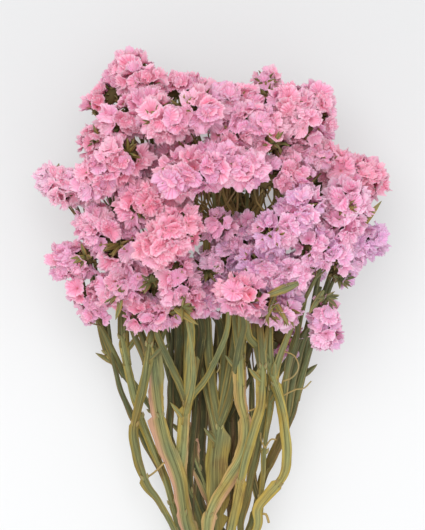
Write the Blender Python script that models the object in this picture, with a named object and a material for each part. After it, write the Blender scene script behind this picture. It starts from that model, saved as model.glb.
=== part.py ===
"""Dried statice: a tied bunch of pink flowering stems that lies on a flat surface.

Sizes are in millimetres and are turned into metres where the meshes are made.
X runs across the bunch, Y along it from the cut ends to the flowers, Z up.
"""

import math
import random

import bpy
import numpy
from mathutils import Matrix, Vector

MM = 0.001
SEED = 21
GAP = 0.3

# The bunch along its length
CUT_END_Y = -250.0
TIE_Y = -130.0
FAN_TOP_Y = 50.0
AXIS_END_Z = 8.6
AXIS_RISE = 0.135
FAN_HALF_DEPTH = 28.0

# The dome of flowers, as an ellipsoid through the middles of the heads
DOME_CENTRE = Vector((0.0, 125.0, 59.0))
DOME_HALF = Vector((122.0, 125.0, 45.0))
FLOOR_SINK = 3.0
FACE_UP = 0.25
DOME_RIM_SHARE = 0.05
SETTLE_STEPS = 120
SETTLE_PUSH = 0.3
SETTLE_SIDEWAYS = 0.12
HEAD_FULLNESS = 1.32
SINGLE_LEAN = Vector((0.3, 1.0, 0.2))
SINGLE_LENGTH_SHARE = 0.1

# The bundle at the tie, in rows from the front (high) to the back (low)
TIE_PITCH_X = 6.1
TIE_ROW_Z = {"front": 5.0, "middle": 0.0, "back": -5.0}
SPREAD_BELOW_X = 1.1
SPREAD_BELOW_Z = 0.6
WING_SHARE_BELOW = 0.64
PINCH_LENGTH = 35.0
STRAIGHT_BY_TIE = 16.0
STRAIGHT_SHARE = 0.2

# Winged stem, with values at the tie second
WING_HALF_WIDTH = (4.2, 2.8)
WING_EDGE_HALF = (0.4, 0.9)
RIB_HALF_WIDTH = (1.3, 1.6)
RIB_HALF_DEPTH = (1.3, 2.3)
WING_WAVE = 0.16
WING_WAVE_STEP = 2.1
WING_TWIST = math.radians(18)
WING_TWIST_STEP = 0.5
SECTIONS_BY_TIE = (-18.0, -6.0, 6.0, 18.0)
SECTION_SPACING = 24.0
FINE_POINTS = 240
CURVE_STEPS = 24
LEVEL_LEAST = 0.05

# Branches
BRANCH_HALF_WIDTH = (2.3, 1.1)
BRANCH_HALF_DEPTH = (1.1, 0.9)
BRANCH_SECTIONS = 5
BRANCH_SPACING = 6.5
BRANCH_TURN = 0.45
BRANCH_PULL = 0.55
BRANCH_BENDS = (0.0, 4.0, 8.0, 13.0, 18.0)
BEND_DIRECTIONS = 10
BEND_CLEARANCE = 1.3
BEND_SAMPLES = 33
HEAD_CLEAR_SHARE = 0.93
STEM_CLEAR_SHARE = 0.8
STEM_CLEAR_EVERY = 4
STEM_TOP_SHARE = 0.45
CUP_RADIUS = 2.4
CUP_LENGTH = 3.5

# Leaflets at the forks
LEAFLET_LENGTH = 17.0
LEAFLET_HALF_WIDTH = 1.9
LEAFLET_HALF_THICKNESS = 0.5
LEAFLET_RISE = 1.5
LEAFLET_ROOT_HALF = (0.9, 0.8)
LEAFLET_TIP_HALF = (0.4, 0.35)
LEAFLET_TEST_SHARES = (0.4, 0.6, 0.8, 1.0)
LEAFLET_LEANS = ((-0.9, 0.4), (0.9, 0.4), (-0.9, -0.3), (0.9, -0.3), (-0.4, 0.7), (0.4, 0.7))

# Flower heads: arched spikes with rows of calyces, as shares of a head's radius
CORE_SHARE = 0.58
THROAT_SHARE = 0.50
END_CORE_SHARE = 0.46
END_REACH_SHARE = 0.34
END_RIM_AHEAD_SHARE = 0.44
END_RIM_SHARE = 0.74
CELL_LENGTH_SHARE = 1.0
CELL_FILL = 0.93
NOTCH_FILL = 0.78
NOTCH_DROP_SHARE = 0.10
RIM_SQUARENESS = 0.35
SPIKE_SIDES = 6
CALYX_ROWS = (5, 0, 1)
UNDERSIDE_ROW = 3
CALYX_LOBES = 5
SEAT_SHARE = 0.90
SEAT_RADIUS = 1.9
SEAT_PULL_BACK = {1: 0.4, -1: 1.2}

# Box that cuts the underside flat, in metres
FLOOR_BOX_SIZE = 0.6

# Twine
TIE_STRANDS = 3
TIE_STRAND_RADIUS = 1.3
TIE_ROUND_POINTS = 24
TIE_GROOVE_SHARE = 1.3
TIE_SLACK = 0.7

# Each stem: row and place at the tie, depth in the fan (1 front, -1 back), wing width as a
# share, route from the tie up as (x, y), and the heads on its branches, lowest first
STEMS = {
    "stem_far_left": ("back", -1.5, -0.45, 0.85,
                      [(-8, -88), (-20, -53), (-31, -25), (-42, -6), (-62, 20), (-76, 39)],
                      ["droop_left", "low_left", "under_left", "far_left"]),
    "stem_dark_left": ("front", -2, 0.85, 1.0,
                       [(-29, -85), (-38, -67), (-47, -52), (-55, -21), (-52, -1), (-48, 17), (-44, 45)],
                       ["skirt_left", "rosette_left", "coral_bar"]),
    "stem_light_left": ("middle", -1.5, 0.1, 0.9,
                        [(-26, -80), (-34, -53), (-43, -29), (-52, -4), (-59, 24), (-64, 50)],
                        ["mid_left", "left_brow", "spire_right", "spire"]),
    "stem_tan_left": ("front", -1, 0.45, 1.25,
                      [(-19, -85), (-24, -53), (-33, -25), (-38, 3), (-41, 31), (-42, 44)],
                      ["skirt_low", "coral_left", "upper_left"]),
    "stem_centre_left": ("middle", -0.5, 0.35, 1.0,
                         [(-15, -88), (-22, -53), (-20, -25), (-18, 2)],
                         ["skirt_gap", "skirt_mid", "cheek"]),
    "stem_broad": ("middle", 0.5, 0.05, 1.5,
                   [(-1, -88), (1, -67), (2, -39), (5, -15)],
                   ["bud", "ridge", "brow"]),
    "stem_tan_front": ("front", 0, 0.7, 1.15,
                       [(-4, -88), (1, -68), (20, -36), (24, -14), (20, 6), (20, 36)],
                       ["coral_ball", "saddle", "upper_mid", "finial"]),
    "stem_loop": ("front", 2, 0.5, 1.0,
                  [(31, -88), (32, -74), (39, -64), (50, -50), (53, -32), (50, -4), (44, 16), (38, 32)],
                  ["lilac_high", "tuft", "upper_right"]),
    "stem_right": ("back", 1.5, -0.25, 0.9,
                   [(27, -88), (37, -53), (43, -39), (53, -15), (59, 3), (65, 32)],
                   ["droop_right", "lilac_right", "under_right", "rosette_right", "far_right"]),
    "stem_long_front": ("front", 1, 1.0, 0.9,
                        [(13, -85), (18, -60), (23, -36), (29, -14), (34, 3), (35, 30)],
                        ["skirt_right", "lilac_low", "lilac_mid"]),
    "stem_thin": ("middle", 1.5, 0.1, 0.7,
                  [(31, -87), (36, -53), (37, -32), (40, -4), (42, 13)],
                  ["under_low_right", "shoulder", "corner"]),
    "stem_hidden_left": ("back", -0.5, -0.75, 0.9,
                         [(2, -88), (-1, -71), (-9, -50), (-17, -29), (-21, -11)],
                         ["under_low_left", "under_mid_left", "under_top_left", "crown_left"]),
    "stem_hidden_right": ("back", 0.5, -0.85, 0.9,
                          [(13, -88), (14, -50), (11, -18), (9, 10)],
                          ["purple_low", "under_mid", "under_top_right", "crown_right"]),
}

# Each head: side of the dome, lift towards that side, colour, and the path of its spike as
# (x, y, radius), seen from above
HEADS = {
    "spire": (1, 0, "pink", [(-83, 211, 9), (-70, 224, 11), (-59, 238, 12)]),
    "spire_right": (1, 0, "pink", [(-52, 221, 9)]),
    "crown_left": (1, -2, "pink", [(-37, 217, 8), (-28, 227, 11), (-13, 223, 10)]),
    "crown_right": (1, 0, "pink", [(4, 217, 10), (20, 216, 11)]),
    "finial": (1, 4, "pink", [(38, 219, 9), (38, 232, 8)]),
    "shoulder": (1, 6, "pink", [(52, 216, 12), (60, 204, 10)]),
    "corner": (1, -4, "pink", [(77, 201, 11), (75, 215, 11)]),
    "upper_left": (1, 4, "pink", [(-57, 198, 12), (-43, 206, 10)]),
    "left_brow": (1, 0, "pink", [(-86, 184, 11), (-72, 190, 10)]),
    "brow": (1, 6, "pink", [(-32, 195, 12), (-12, 200, 12)]),
    "upper_mid": (1, 8, "pink", [(13, 185, 11), (27, 194, 11), (38, 183, 10)]),
    "upper_right": (1, 6, "pink", [(53, 178, 10), (68, 175, 12), (82, 174, 9)]),
    "cheek": (1, 4, "pink", [(-42, 172, 11), (-24, 178, 11)]),
    "mid_left": (1, 2, "pink", [(-58, 167, 12), (-75, 155, 10)]),
    "far_left": (1, -6, "pale", [(-86, 160, 10), (-101, 151, 11), (-116, 159, 10)]),
    "ridge": (1, 8, "pink", [(-19, 162, 12), (-1, 167, 12), (17, 164, 11)]),
    "tuft": (1, 6, "pink", [(40, 161, 11), (54, 164, 9)]),
    "far_right": (1, -12, "coral", [(95, 165, 11), (110, 160, 13)]),
    "rosette_right": (1, 8, "lilac", [(88, 146, 14), (82, 128, 10)]),
    "lilac_right": (1, 0, "lilac", [(90, 92, 9), (99, 109, 12), (114, 116, 10)]),
    "lilac_mid": (1, 4, "lilac", [(44, 119, 10), (60, 132, 11)]),
    "lilac_high": (1, 5, "lilac", [(63, 111, 10), (77, 104, 8)]),
    "bud": (1, 2, "pink", [(3, 130, 10)]),
    "saddle": (1, 0, "lilac", [(1, 98, 10), (15, 110, 11), (27, 125, 10)]),
    "lilac_low": (1, 4, "lilac", [(35, 101, 10), (51, 96, 11)]),
    "coral_ball": (1, 8, "coral", [(21, 80, 14)]),
    "skirt_right": (1, 6, "lilac", [(43, 73, 11)]),
    "droop_right": (1, 0, "lilac", [(78, 72, 8), (80, 56, 10)]),
    "coral_bar": (1, 6, "coral", [(-50, 140, 11), (-34, 145, 10)]),
    "rosette_left": (1, 4, "pink", [(-64, 118, 14), (-78, 131, 10)]),
    "coral_left": (1, 8, "coral", [(-41, 108, 12), (-26, 120, 13)]),
    "low_left": (1, 0, "pink", [(-90, 103, 11), (-106, 101, 11)]),
    "droop_left": (1, 0, "pink", [(-95, 80, 10), (-88, 65, 8)]),
    "skirt_left": (1, 2, "pink", [(-70, 80, 9), (-57, 86, 11), (-43, 89, 11)]),
    "skirt_mid": (1, 0, "pink", [(-27, 93, 10), (-24, 77, 10)]),
    "skirt_low": (1, -4, "pink", [(-46, 63, 10), (-32, 65, 9)]),
    "skirt_gap": (1, -4, "lilac", [(-5, 75, 11)]),
    "purple_low": (-1, 0, "lilac", [(34, 42, 10)]),
    "under_left": (-1, 0, "pink", [(-80, 112, 11), (-90, 128, 11), (-94, 145, 11)]),
    "under_low_left": (-1, 7, "pink", [(-60, 92, 11), (-44, 82, 11), (-28, 76, 11)]),
    "under_mid_left": (-1, 4, "pink", [(-64, 160, 11), (-46, 152, 12), (-32, 138, 11)]),
    "under_top_left": (-1, 0, "pink", [(-56, 208, 11), (-38, 206, 12), (-20, 210, 11)]),
    "under_low_right": (-1, 7, "lilac", [(64, 96, 11), (48, 86, 11), (31, 80, 11)]),
    "under_mid": (-1, 2, "lilac", [(-6, 162, 11), (10, 152, 12), (26, 140, 11)]),
    "under_top_right": (-1, 0, "pink", [(54, 192, 11), (38, 200, 12), (20, 206, 11)]),
    "under_right": (-1, 0, "lilac", [(78, 122, 11), (86, 140, 11), (84, 158, 11)]),
}

COLOURS = {
    "pink": (0.87, 0.42, 0.60, 1.0),
    "coral": (0.90, 0.40, 0.50, 1.0),
    "lilac": (0.72, 0.40, 0.66, 1.0),
    "pale": (0.85, 0.58, 0.74, 1.0),
    "green": (0.27, 0.30, 0.11, 1.0),
    "twine": (0.45, 0.33, 0.18, 1.0),
}
PETAL_ROUGHNESS = 0.75
STEM_ROUGHNESS = 0.7
TWINE_ROUGHNESS = 0.9


def mix(pair, share):
    """Value between a pair: the first at share 0, the second at share 1."""
    return pair[0] + (pair[1] - pair[0]) * share


def clear_scene():
    for item in list(bpy.data.objects):
        bpy.data.objects.remove(item, do_unlink=True)


def material(name, colour, roughness):
    made = bpy.data.materials.get(name)
    if made is None:
        made = bpy.data.materials.new(name)
        made.use_nodes = True
        shader = made.node_tree.nodes["Principled BSDF"]
        shader.inputs["Base Color"].default_value = colour
        shader.inputs["Roughness"].default_value = roughness
        shader.inputs["Metallic"].default_value = 0.0
        made.diffuse_color = colour
    return made


def solid(name, points, faces, collection=None):
    """Closed mesh object from points in millimetres."""
    mesh = bpy.data.meshes.new(name)
    mesh.from_pydata([tuple(point * MM) for point in points], [], faces)
    mesh.validate()
    made = bpy.data.objects.new(name, mesh)
    (collection or bpy.context.scene.collection).objects.link(made)
    return made


def loft(rings):
    """Points and triangles of a closed skin through rings, split alike on its two faces."""
    count = len(rings[0])
    points = [point for ring in rings for point in ring]
    faces = [tuple(reversed(range(count)))]
    for row in range(len(rings) - 1):
        for side in range(count):
            low = row * count + side
            near = row * count + (side + 1) % count
            if side < count / 2:
                faces += [(low, near, near + count), (low, near + count, low + count)]
            else:
                faces += [(low, near, low + count), (near, near + count, low + count)]
    last = (len(rings) - 1) * count
    faces.append(tuple(range(last, last + count)))
    return points, faces


def level_axis(direction):
    """Unit vector across a direction and along the floor."""
    level = direction.cross(Vector((0.0, 0.0, 1.0)))
    return level.normalized() if level.length > LEVEL_LEAST else Vector((1.0, 0.0, 0.0))


def across_direction(vector, direction):
    """The part of a vector that is square to a direction, as a unit vector."""
    direction = direction.normalized()
    return (vector - direction * vector.dot(direction)).normalized()


def smooth_route(points, count):
    """Evenly spaced points on a smooth curve through the given ones."""
    padded = [points[0] * 2 - points[1]] + points + [points[-1] * 2 - points[-2]]
    fine = []
    for span in range(len(points) - 1):
        before, start, end, after = padded[span:span + 4]
        for step in range(CURVE_STEPS):
            t = step / CURVE_STEPS
            fine.append(0.5 * ((2 * start) + (end - before) * t
                               + (2 * before - 5 * start + 4 * end - after) * t * t
                               + (3 * start - before - 3 * end + after) * t * t * t))
    fine.append(points[-1].copy())
    lengths = [0.0]
    for low, high in zip(fine, fine[1:]):
        lengths.append(lengths[-1] + (high - low).length)
    route = []
    place = 0
    for index in range(count):
        goal = lengths[-1] * index / (count - 1)
        while place < len(fine) - 2 and lengths[place + 1] < goal:
            place += 1
        share = (goal - lengths[place]) / (lengths[place + 1] - lengths[place])
        route.append(fine[place].lerp(fine[place + 1], min(1.0, share)))
    return route


def section_places(fine):
    """Places in a fine route where its sections stand: close together at the tie."""
    lowest, top = fine[0].y, fine[-1].y
    heights = [lowest, (lowest + TIE_Y) / 2] + [TIE_Y + away for away in SECTIONS_BY_TIE]
    spans = max(2, round((top - heights[-1]) / SECTION_SPACING))
    start = heights[-1]
    heights += [start + (top - start) * span / spans for span in range(1, spans + 1)]
    places = []
    for height in heights:
        places.append(min(range(len(fine)), key=lambda place: abs(fine[place].y - height)))
    return places


def axis_height(y):
    return AXIS_END_Z + AXIS_RISE * (y - CUT_END_Y)


def pinch(y):
    """1 at the tie, falling to 0 away from it."""
    return math.exp(-((y - TIE_Y) / PINCH_LENGTH) ** 2)


def stem_route(row, place, depth, points):
    """Points of a stem from its cut end, under the tie and up to its top fork."""
    row_z = TIE_ROW_Z[row]
    tie_x = place * TIE_PITCH_X
    route = []
    for y in (CUT_END_Y, (CUT_END_Y + TIE_Y) / 2, TIE_Y - STRAIGHT_BY_TIE):
        below = (TIE_Y - y) / (TIE_Y - CUT_END_Y)
        route.append(Vector((tie_x * (1 + SPREAD_BELOW_X * below), y,
                             axis_height(y) + row_z * (1 + SPREAD_BELOW_Z * below))))
    near_x = tie_x + (points[0][0] - tie_x) * STRAIGHT_SHARE
    for x, y in [(tie_x, TIE_Y), (near_x, TIE_Y + STRAIGHT_BY_TIE)] + points:
        above = (y - TIE_Y) / (FAN_TOP_Y - TIE_Y)
        route.append(Vector((x, y, axis_height(y) + row_z + (depth * FAN_HALF_DEPTH - row_z) * above)))
    return route


def winged_ring(centre, direction, level, width_share, twist):
    """Eight points of a stem's section: a round rib between two thin wings."""
    squeeze = pinch(centre.y)
    wing = mix((WING_HALF_WIDTH[0] * width_share, WING_HALF_WIDTH[1]), squeeze)
    edge = mix(WING_EDGE_HALF, squeeze)
    rib = mix(RIB_HALF_WIDTH, squeeze)
    depth = mix(RIB_HALF_DEPTH, squeeze)
    turn = Matrix.Rotation(twist * (1 - squeeze), 3, direction)
    wide = turn @ level
    deep = direction.cross(wide).normalized()
    corners = [(wing, -edge), (wing, edge), (rib, depth), (-rib, depth),
               (-wing, edge), (-wing, -edge), (-rib, -depth), (rib, -depth)]
    return [centre + wide * across + deep * up for across, up in corners]


def flat_ring(centre, direction, level, half_width, half_depth):
    deep = direction.cross(level).normalized()
    return [centre + level * half_width, centre + deep * half_depth,
            centre - level * half_width, centre - deep * half_depth]


def direction_at(route, index):
    low = route[max(0, index - 1)]
    high = route[min(len(route) - 1, index + 1)]
    return (high - low).normalized()


def dome_normal(place):
    offset = place - DOME_CENTRE
    return Vector([offset[axis] / DOME_HALF[axis] ** 2 for axis in range(3)]).normalized()


def place_heads():
    """Path points and radii of each head, moved apart until no two heads meet."""
    lobes = {}
    for name, (side, lift, _, table) in HEADS.items():
        lobes[name] = []
        for x, y, table_radius in table:
            radius = table_radius * HEAD_FULLNESS
            flat = ((x - DOME_CENTRE.x) / DOME_HALF.x) ** 2 + ((y - DOME_CENTRE.y) / DOME_HALF.y) ** 2
            height = DOME_HALF.z * math.sqrt(max(DOME_RIM_SHARE, 1.0 - flat)) + lift
            z = max(DOME_CENTRE.z + side * height, radius - FLOOR_SINK)
            lobes[name].append([Vector((x, y, z)), radius])
    names = list(lobes)
    for _ in range(SETTLE_STEPS):
        moves = {name: Vector() for name in names}
        spheres = {name: envelope(lobes[name]) for name in names}
        for index, first in enumerate(names):
            for second in names[index + 1:]:
                for centre, radius in spheres[first]:
                    for other, other_radius in spheres[second]:
                        apart = centre - other
                        short = radius + other_radius + GAP - apart.length
                        if short > 0:
                            push = apart.normalized() * short * SETTLE_PUSH
                            push.x *= SETTLE_SIDEWAYS
                            push.y *= SETTLE_SIDEWAYS
                            moves[first] += push
                            moves[second] -= push
        for name in names:
            lowest = min(centre.z - radius for centre, radius in lobes[name])
            moves[name].z = max(moves[name].z, -FLOOR_SINK - lowest)
            for lobe in lobes[name]:
                lobe[0] += moves[name]
    return lobes


def envelope(lobes):
    """Spheres that a head stays inside: at its path points and between them."""
    spheres = [tuple(lobe) for lobe in lobes]
    for low, high in zip(lobes, lobes[1:]):
        spheres.append(((low[0] + high[0]) / 2, (low[1] + high[1]) / 2))
    return spheres


def outward(centre, side):
    """Way that a head faces: off the dome, and a little up or down with its side."""
    return (dome_normal(centre) + Vector((0.0, 0.0, FACE_UP * side))).normalized()


def spike_sections(lobes, side):
    """Middle, radius, path direction and facing of each section of a head's arched spike."""
    path = [lobe[0] for lobe in lobes]
    radii = [lobe[1] for lobe in lobes]
    if len(path) == 1:
        half = outward(path[0], side).cross(SINGLE_LEAN).normalized() * radii[0] * SINGLE_LENGTH_SHARE
        path = [path[0] - half, path[0] + half]
        radii = radii * 2
    ends = []
    for end, inner, radius in ((path[0], path[1], radii[0]), (path[-1], path[-2], radii[-1])):
        ends.append(end + (end - inner).normalized() * radius * END_REACH_SHARE)
    path = [ends[0]] + path[1:-1] + [ends[1]]
    length = sum((high - low).length for low, high in zip(path, path[1:]))
    cells = max(1, round(length / (CELL_LENGTH_SHARE * sum(radii) / len(radii))))
    route = smooth_route(path, cells + 1)
    sections = []
    for index, centre in enumerate(route):
        share = index / cells * (len(radii) - 1)
        low = min(len(radii) - 2, int(share))
        radius = mix((radii[low], radii[low + 1]), share - low)
        along = direction_at(route, index)
        sections.append((centre, radius, along, across_direction(outward(centre, side), along)))
    return sections


def head_seat(sections, side):
    """Middle of the flat seat under a head, and the way from the head to its branch."""
    cell = (len(sections) - 1) // 2
    low, high = sections[cell], sections[cell + 1]
    facing = (low[3] + high[3]).normalized()
    radius = (low[1] + high[1]) / 2
    direction = (facing * -1.0 + Vector((0.0, -SEAT_PULL_BACK[side], 0.0))).normalized()
    return (low[0] + high[0]) / 2 + direction * SEAT_SHARE * radius, direction


def branch_centres(root, leave, seat, down, bend, count):
    """Centre line of a branch from its root to the start of its cup, with a sideways bend."""
    cup_start = seat + down * CUP_LENGTH
    reach = (cup_start - root).length * BRANCH_PULL
    centres = []
    for index in range(count):
        t = index / (count - 1)
        centres.append(root * (2 * t ** 3 - 3 * t ** 2 + 1) + leave * reach * (t ** 3 - 2 * t ** 2 + t)
                       + cup_start * (3 * t ** 2 - 2 * t ** 3) - down * reach * (t ** 3 - t ** 2)
                       + bend * math.sin(math.pi * t) ** 2)
    return centres


def clearance(centres, blocks):
    """Least distance from a branch's skin to the round obstacles."""
    line = numpy.array([tuple(centre) for centre in centres])
    widths = numpy.linspace(BRANCH_HALF_WIDTH[0], CUP_RADIUS, len(centres))
    apart = numpy.linalg.norm(line[:, None, :] - blocks[None, :, :3], axis=2)
    return float((apart - blocks[None, :, 3] - widths[:, None]).min())


def clear_bend(root, leave, seat, down, blocks):
    """The smallest sideways bend that keeps a branch clear of heads and of other stems."""
    chord = (seat - root).normalized()
    level = level_axis(chord)
    deep = chord.cross(level)
    best = (-1e9, Vector())
    for size in BRANCH_BENDS:
        for index in range(BEND_DIRECTIONS if size else 1):
            angle = 2 * math.pi * index / BEND_DIRECTIONS
            bend = (level * math.cos(angle) + deep * math.sin(angle)) * size
            room = clearance(branch_centres(root, leave, seat, down, bend, BEND_SAMPLES), blocks)
            if room > best[0]:
                best = (room, bend)
        if best[0] > BEND_CLEARANCE:
            break
    return best[1]


def branch(centres, seat, down):
    """Branch with its centre line given, and the flat cup that its head sits on."""
    level = level_axis(direction_at(centres, 0))
    rings = []
    for index, centre in enumerate(centres):
        share = index / (len(centres) - 1)
        direction = direction_at(centres, index)
        level = across_direction(level, direction)
        rings.append(flat_ring(centre, direction, level, mix(BRANCH_HALF_WIDTH, share),
                               mix(BRANCH_HALF_DEPTH, share)))
    rings.append(flat_ring(seat, -down, across_direction(level, -down), CUP_RADIUS, CUP_RADIUS))
    return loft(rings)


def leaflet(root, direction):
    """Narrow pointed blade that leaves a fork."""
    level = level_axis(direction)
    raised = level.cross(direction).normalized()
    middle = root + direction * LEAFLET_LENGTH * 0.5
    tip = root + direction * LEAFLET_LENGTH + raised * LEAFLET_RISE
    rings = [flat_ring(root, direction, level, *LEAFLET_ROOT_HALF),
             flat_ring(middle, direction, level, LEAFLET_HALF_WIDTH, LEAFLET_HALF_THICKNESS),
             flat_ring(tip, direction, level, *LEAFLET_TIP_HALF)]
    return loft(rings)


def spike_ring(section, share):
    """Six points round a section, with a side of the ring facing outwards."""
    centre, radius, along, facing = section
    across = along.cross(facing)
    ring = []
    for index in range(SPIKE_SIDES):
        angle = 2 * math.pi * (index - 0.5) / SPIKE_SIDES
        ring.append(centre + (facing * math.cos(angle) + across * math.sin(angle)) * radius * share)
    return ring


def band(faces, inner, inner_angles, outer, outer_angles):
    """Triangles between two closed rings whose first points lie at like angles."""
    a, b = 0, 0
    turn = 2 * math.pi
    while a < len(inner) or b < len(outer):
        next_a = inner_angles[(a + 1) % len(inner)] + turn * ((a + 1) // len(inner))
        next_b = outer_angles[(b + 1) % len(outer)] + turn * ((b + 1) // len(outer))
        low, high = inner[a % len(inner)], outer[b % len(outer)]
        if b >= len(outer) or (a < len(inner) and next_a <= next_b):
            faces.append((low, inner[(a + 1) % len(inner)], high))
            a += 1
        else:
            faces.append((low, outer[(b + 1) % len(outer)], high))
            b += 1


def calyx(points, faces, base, base_angles, rim_place, throat):
    """Funnel on a face of the spike: five-lobed zigzag rim and a hollow throat."""
    count = 2 * CALYX_LOBES
    angles = [2 * math.pi * (index + 0.5) / count for index in range(count)]
    rim = []
    for index, angle in enumerate(angles):
        rim.append(len(points))
        points.append(rim_place(angle, index % 2))
    band(faces, base, base_angles, rim, angles)
    points.append(throat)
    for index in range(count):
        faces.append((rim[index], rim[(index + 1) % count], len(points) - 1))


def side_calyx(points, faces, base, cell, axis_point, radius):
    """Calyx on one side of the spike, its rim kept inside its own cell."""
    middle = sum(cell, Vector()) / 4
    inward = (axis_point - middle).normalized()

    def rim_place(angle, notch):
        fill = NOTCH_FILL if notch else CELL_FILL
        square = 1 / max(abs(math.cos(angle)), abs(math.sin(angle)))
        reach = fill * (1 + RIM_SQUARENESS * (square - 1))
        u = (1 + reach * math.cos(angle)) / 2
        v = (1 + reach * math.sin(angle)) / 2
        low = cell[0].lerp(cell[1], u)
        high = cell[3].lerp(cell[2], u)
        return low.lerp(high, v) + inward * notch * NOTCH_DROP_SHARE * radius

    throat = axis_point - inward * THROAT_SHARE * radius
    corner_angles = [math.radians(angle) for angle in (45, 135, 225, 315)]
    calyx(points, faces, base[2:] + base[:2], corner_angles, rim_place, throat)


def end_calyx(points, faces, base, section, ahead):
    """Calyx that closes an end of the spike and looks along it."""
    centre, radius, along, facing = section
    across = along.cross(facing) * ahead
    middle = centre + along * ahead * END_RIM_AHEAD_SHARE * radius

    def rim_place(angle, notch):
        fill = END_RIM_SHARE * (NOTCH_FILL if notch else CELL_FILL) * radius
        drop = along * ahead * notch * NOTCH_DROP_SHARE * radius
        return middle + (facing * math.cos(angle) + across * math.sin(angle)) * fill - drop

    angles = [2 * math.pi * (index - 0.5) / SPIKE_SIDES for index in range(SPIKE_SIDES)]
    calyx(points, faces, base, angles, rim_place, centre)


def spike(sections, side):
    """One closed head: rows of calyces on an arched core, with a flat seat beneath."""
    points = []
    for index, section in enumerate(sections):
        end = index in (0, len(sections) - 1)
        points += spike_ring(section, END_CORE_SHARE if end else CORE_SHARE)
    faces = []
    seat_cell = (len(sections) - 1) // 2
    for index, (low, high) in enumerate(zip(sections, sections[1:])):
        low_outer, high_outer = spike_ring(low, 1.0), spike_ring(high, 1.0)
        middle = (low[0] + high[0]) / 2
        radius = (low[1] + high[1]) / 2
        start = index * SPIKE_SIDES
        for row in range(SPIKE_SIDES):
            next_row = (row + 1) % SPIKE_SIDES
            base = [start + row, start + next_row, start + SPIKE_SIDES + next_row, start + SPIKE_SIDES + row]
            if row in CALYX_ROWS:
                cell = [low_outer[row], low_outer[next_row], high_outer[next_row], high_outer[row]]
                side_calyx(points, faces, base, cell, middle, radius)
            elif row == UNDERSIDE_ROW and index == seat_cell:
                seat_stub(points, faces, base, head_seat(sections, side))
            else:
                faces.append(tuple(base))
    first_ring = [(1 - index) % SPIKE_SIDES for index in range(SPIKE_SIDES)]
    last_ring = [len(sections) * SPIKE_SIDES - SPIKE_SIDES + index for index in range(SPIKE_SIDES)]
    end_calyx(points, faces, first_ring, sections[0], -1)
    end_calyx(points, faces, last_ring, sections[-1], 1)
    return points, faces


def seat_stub(points, faces, base, seat):
    """Short stalk with a flat end, from the underside of the spike to its branch."""
    centre, direction = seat
    middle = sum((points[index] for index in base), Vector()) / 4
    ring = []
    for index in base:
        ring.append(len(points))
        points.append(centre + across_direction(points[index] - middle, direction) * SEAT_RADIUS)
    for index in range(4):
        far = (index + 1) % 4
        faces.append((base[index], base[far], ring[far], ring[index]))
    faces.append(tuple(ring))


def join(name, pieces, surface):
    """One closed body from overlapping closed pieces, cut flat where it meets the floor."""
    gathered = bpy.data.collections.new(name + "_pieces")
    bpy.context.scene.collection.children.link(gathered)
    body = solid(name, *pieces[0])
    for index, piece in enumerate(pieces[1:]):
        solid(f"{name}_{index}", *piece, collection=gathered)
    union = body.modifiers.new("union", "BOOLEAN")
    union.operation = "UNION"
    union.solver = "MANIFOLD"
    union.operand_type = "COLLECTION"
    union.collection = gathered
    apply_modifiers(body)
    for item in list(gathered.objects):
        bpy.data.objects.remove(item, do_unlink=True)
    bpy.data.collections.remove(gathered)
    if min(vertex.co.z for vertex in body.data.vertices) < 0:
        cut_at_floor(body)
    body.data.materials.clear()
    body.data.materials.append(surface)
    return body


def apply_modifiers(body):
    """Swap an object's mesh for the one that its modifiers make."""
    graph = bpy.context.evaluated_depsgraph_get()
    finished = bpy.data.meshes.new_from_object(body.evaluated_get(graph))
    body.modifiers.clear()
    body.data = finished


def cut_at_floor(body):
    bpy.ops.mesh.primitive_cube_add(size=FLOOR_BOX_SIZE, location=(0, 0, -FLOOR_BOX_SIZE / 2))
    floor = bpy.context.object
    cut = body.modifiers.new("floor", "BOOLEAN")
    cut.operation = "DIFFERENCE"
    cut.solver = "MANIFOLD"
    cut.object = floor
    apply_modifiers(body)
    bpy.data.objects.remove(floor, do_unlink=True)


def stem_line(name):
    row, place, depth, _, points, _ = STEMS[name]
    return smooth_route(stem_route(row, place, depth, points), FINE_POINTS)


def main_stem(name, fine, phase):
    """The winged stem from its cut end to its top fork."""
    width_share = STEMS[name][3]
    level = level_axis(direction_at(fine, 0))
    rings = []
    for index, place in enumerate(section_places(fine)):
        direction = direction_at(fine, place)
        level = across_direction(level, direction)
        share = width_share * (1 + WING_WAVE * math.sin(phase + WING_WAVE_STEP * index))
        share *= WING_SHARE_BELOW if fine[place].y < TIE_Y + PINCH_LENGTH else 1.0
        share *= STEM_TOP_SHARE if place == FINE_POINTS - 1 else 1.0
        twist = WING_TWIST * math.sin(phase + WING_TWIST_STEP * index)
        rings.append(winged_ring(fine[place], direction, level, share, twist))
    return loft(rings)


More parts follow.
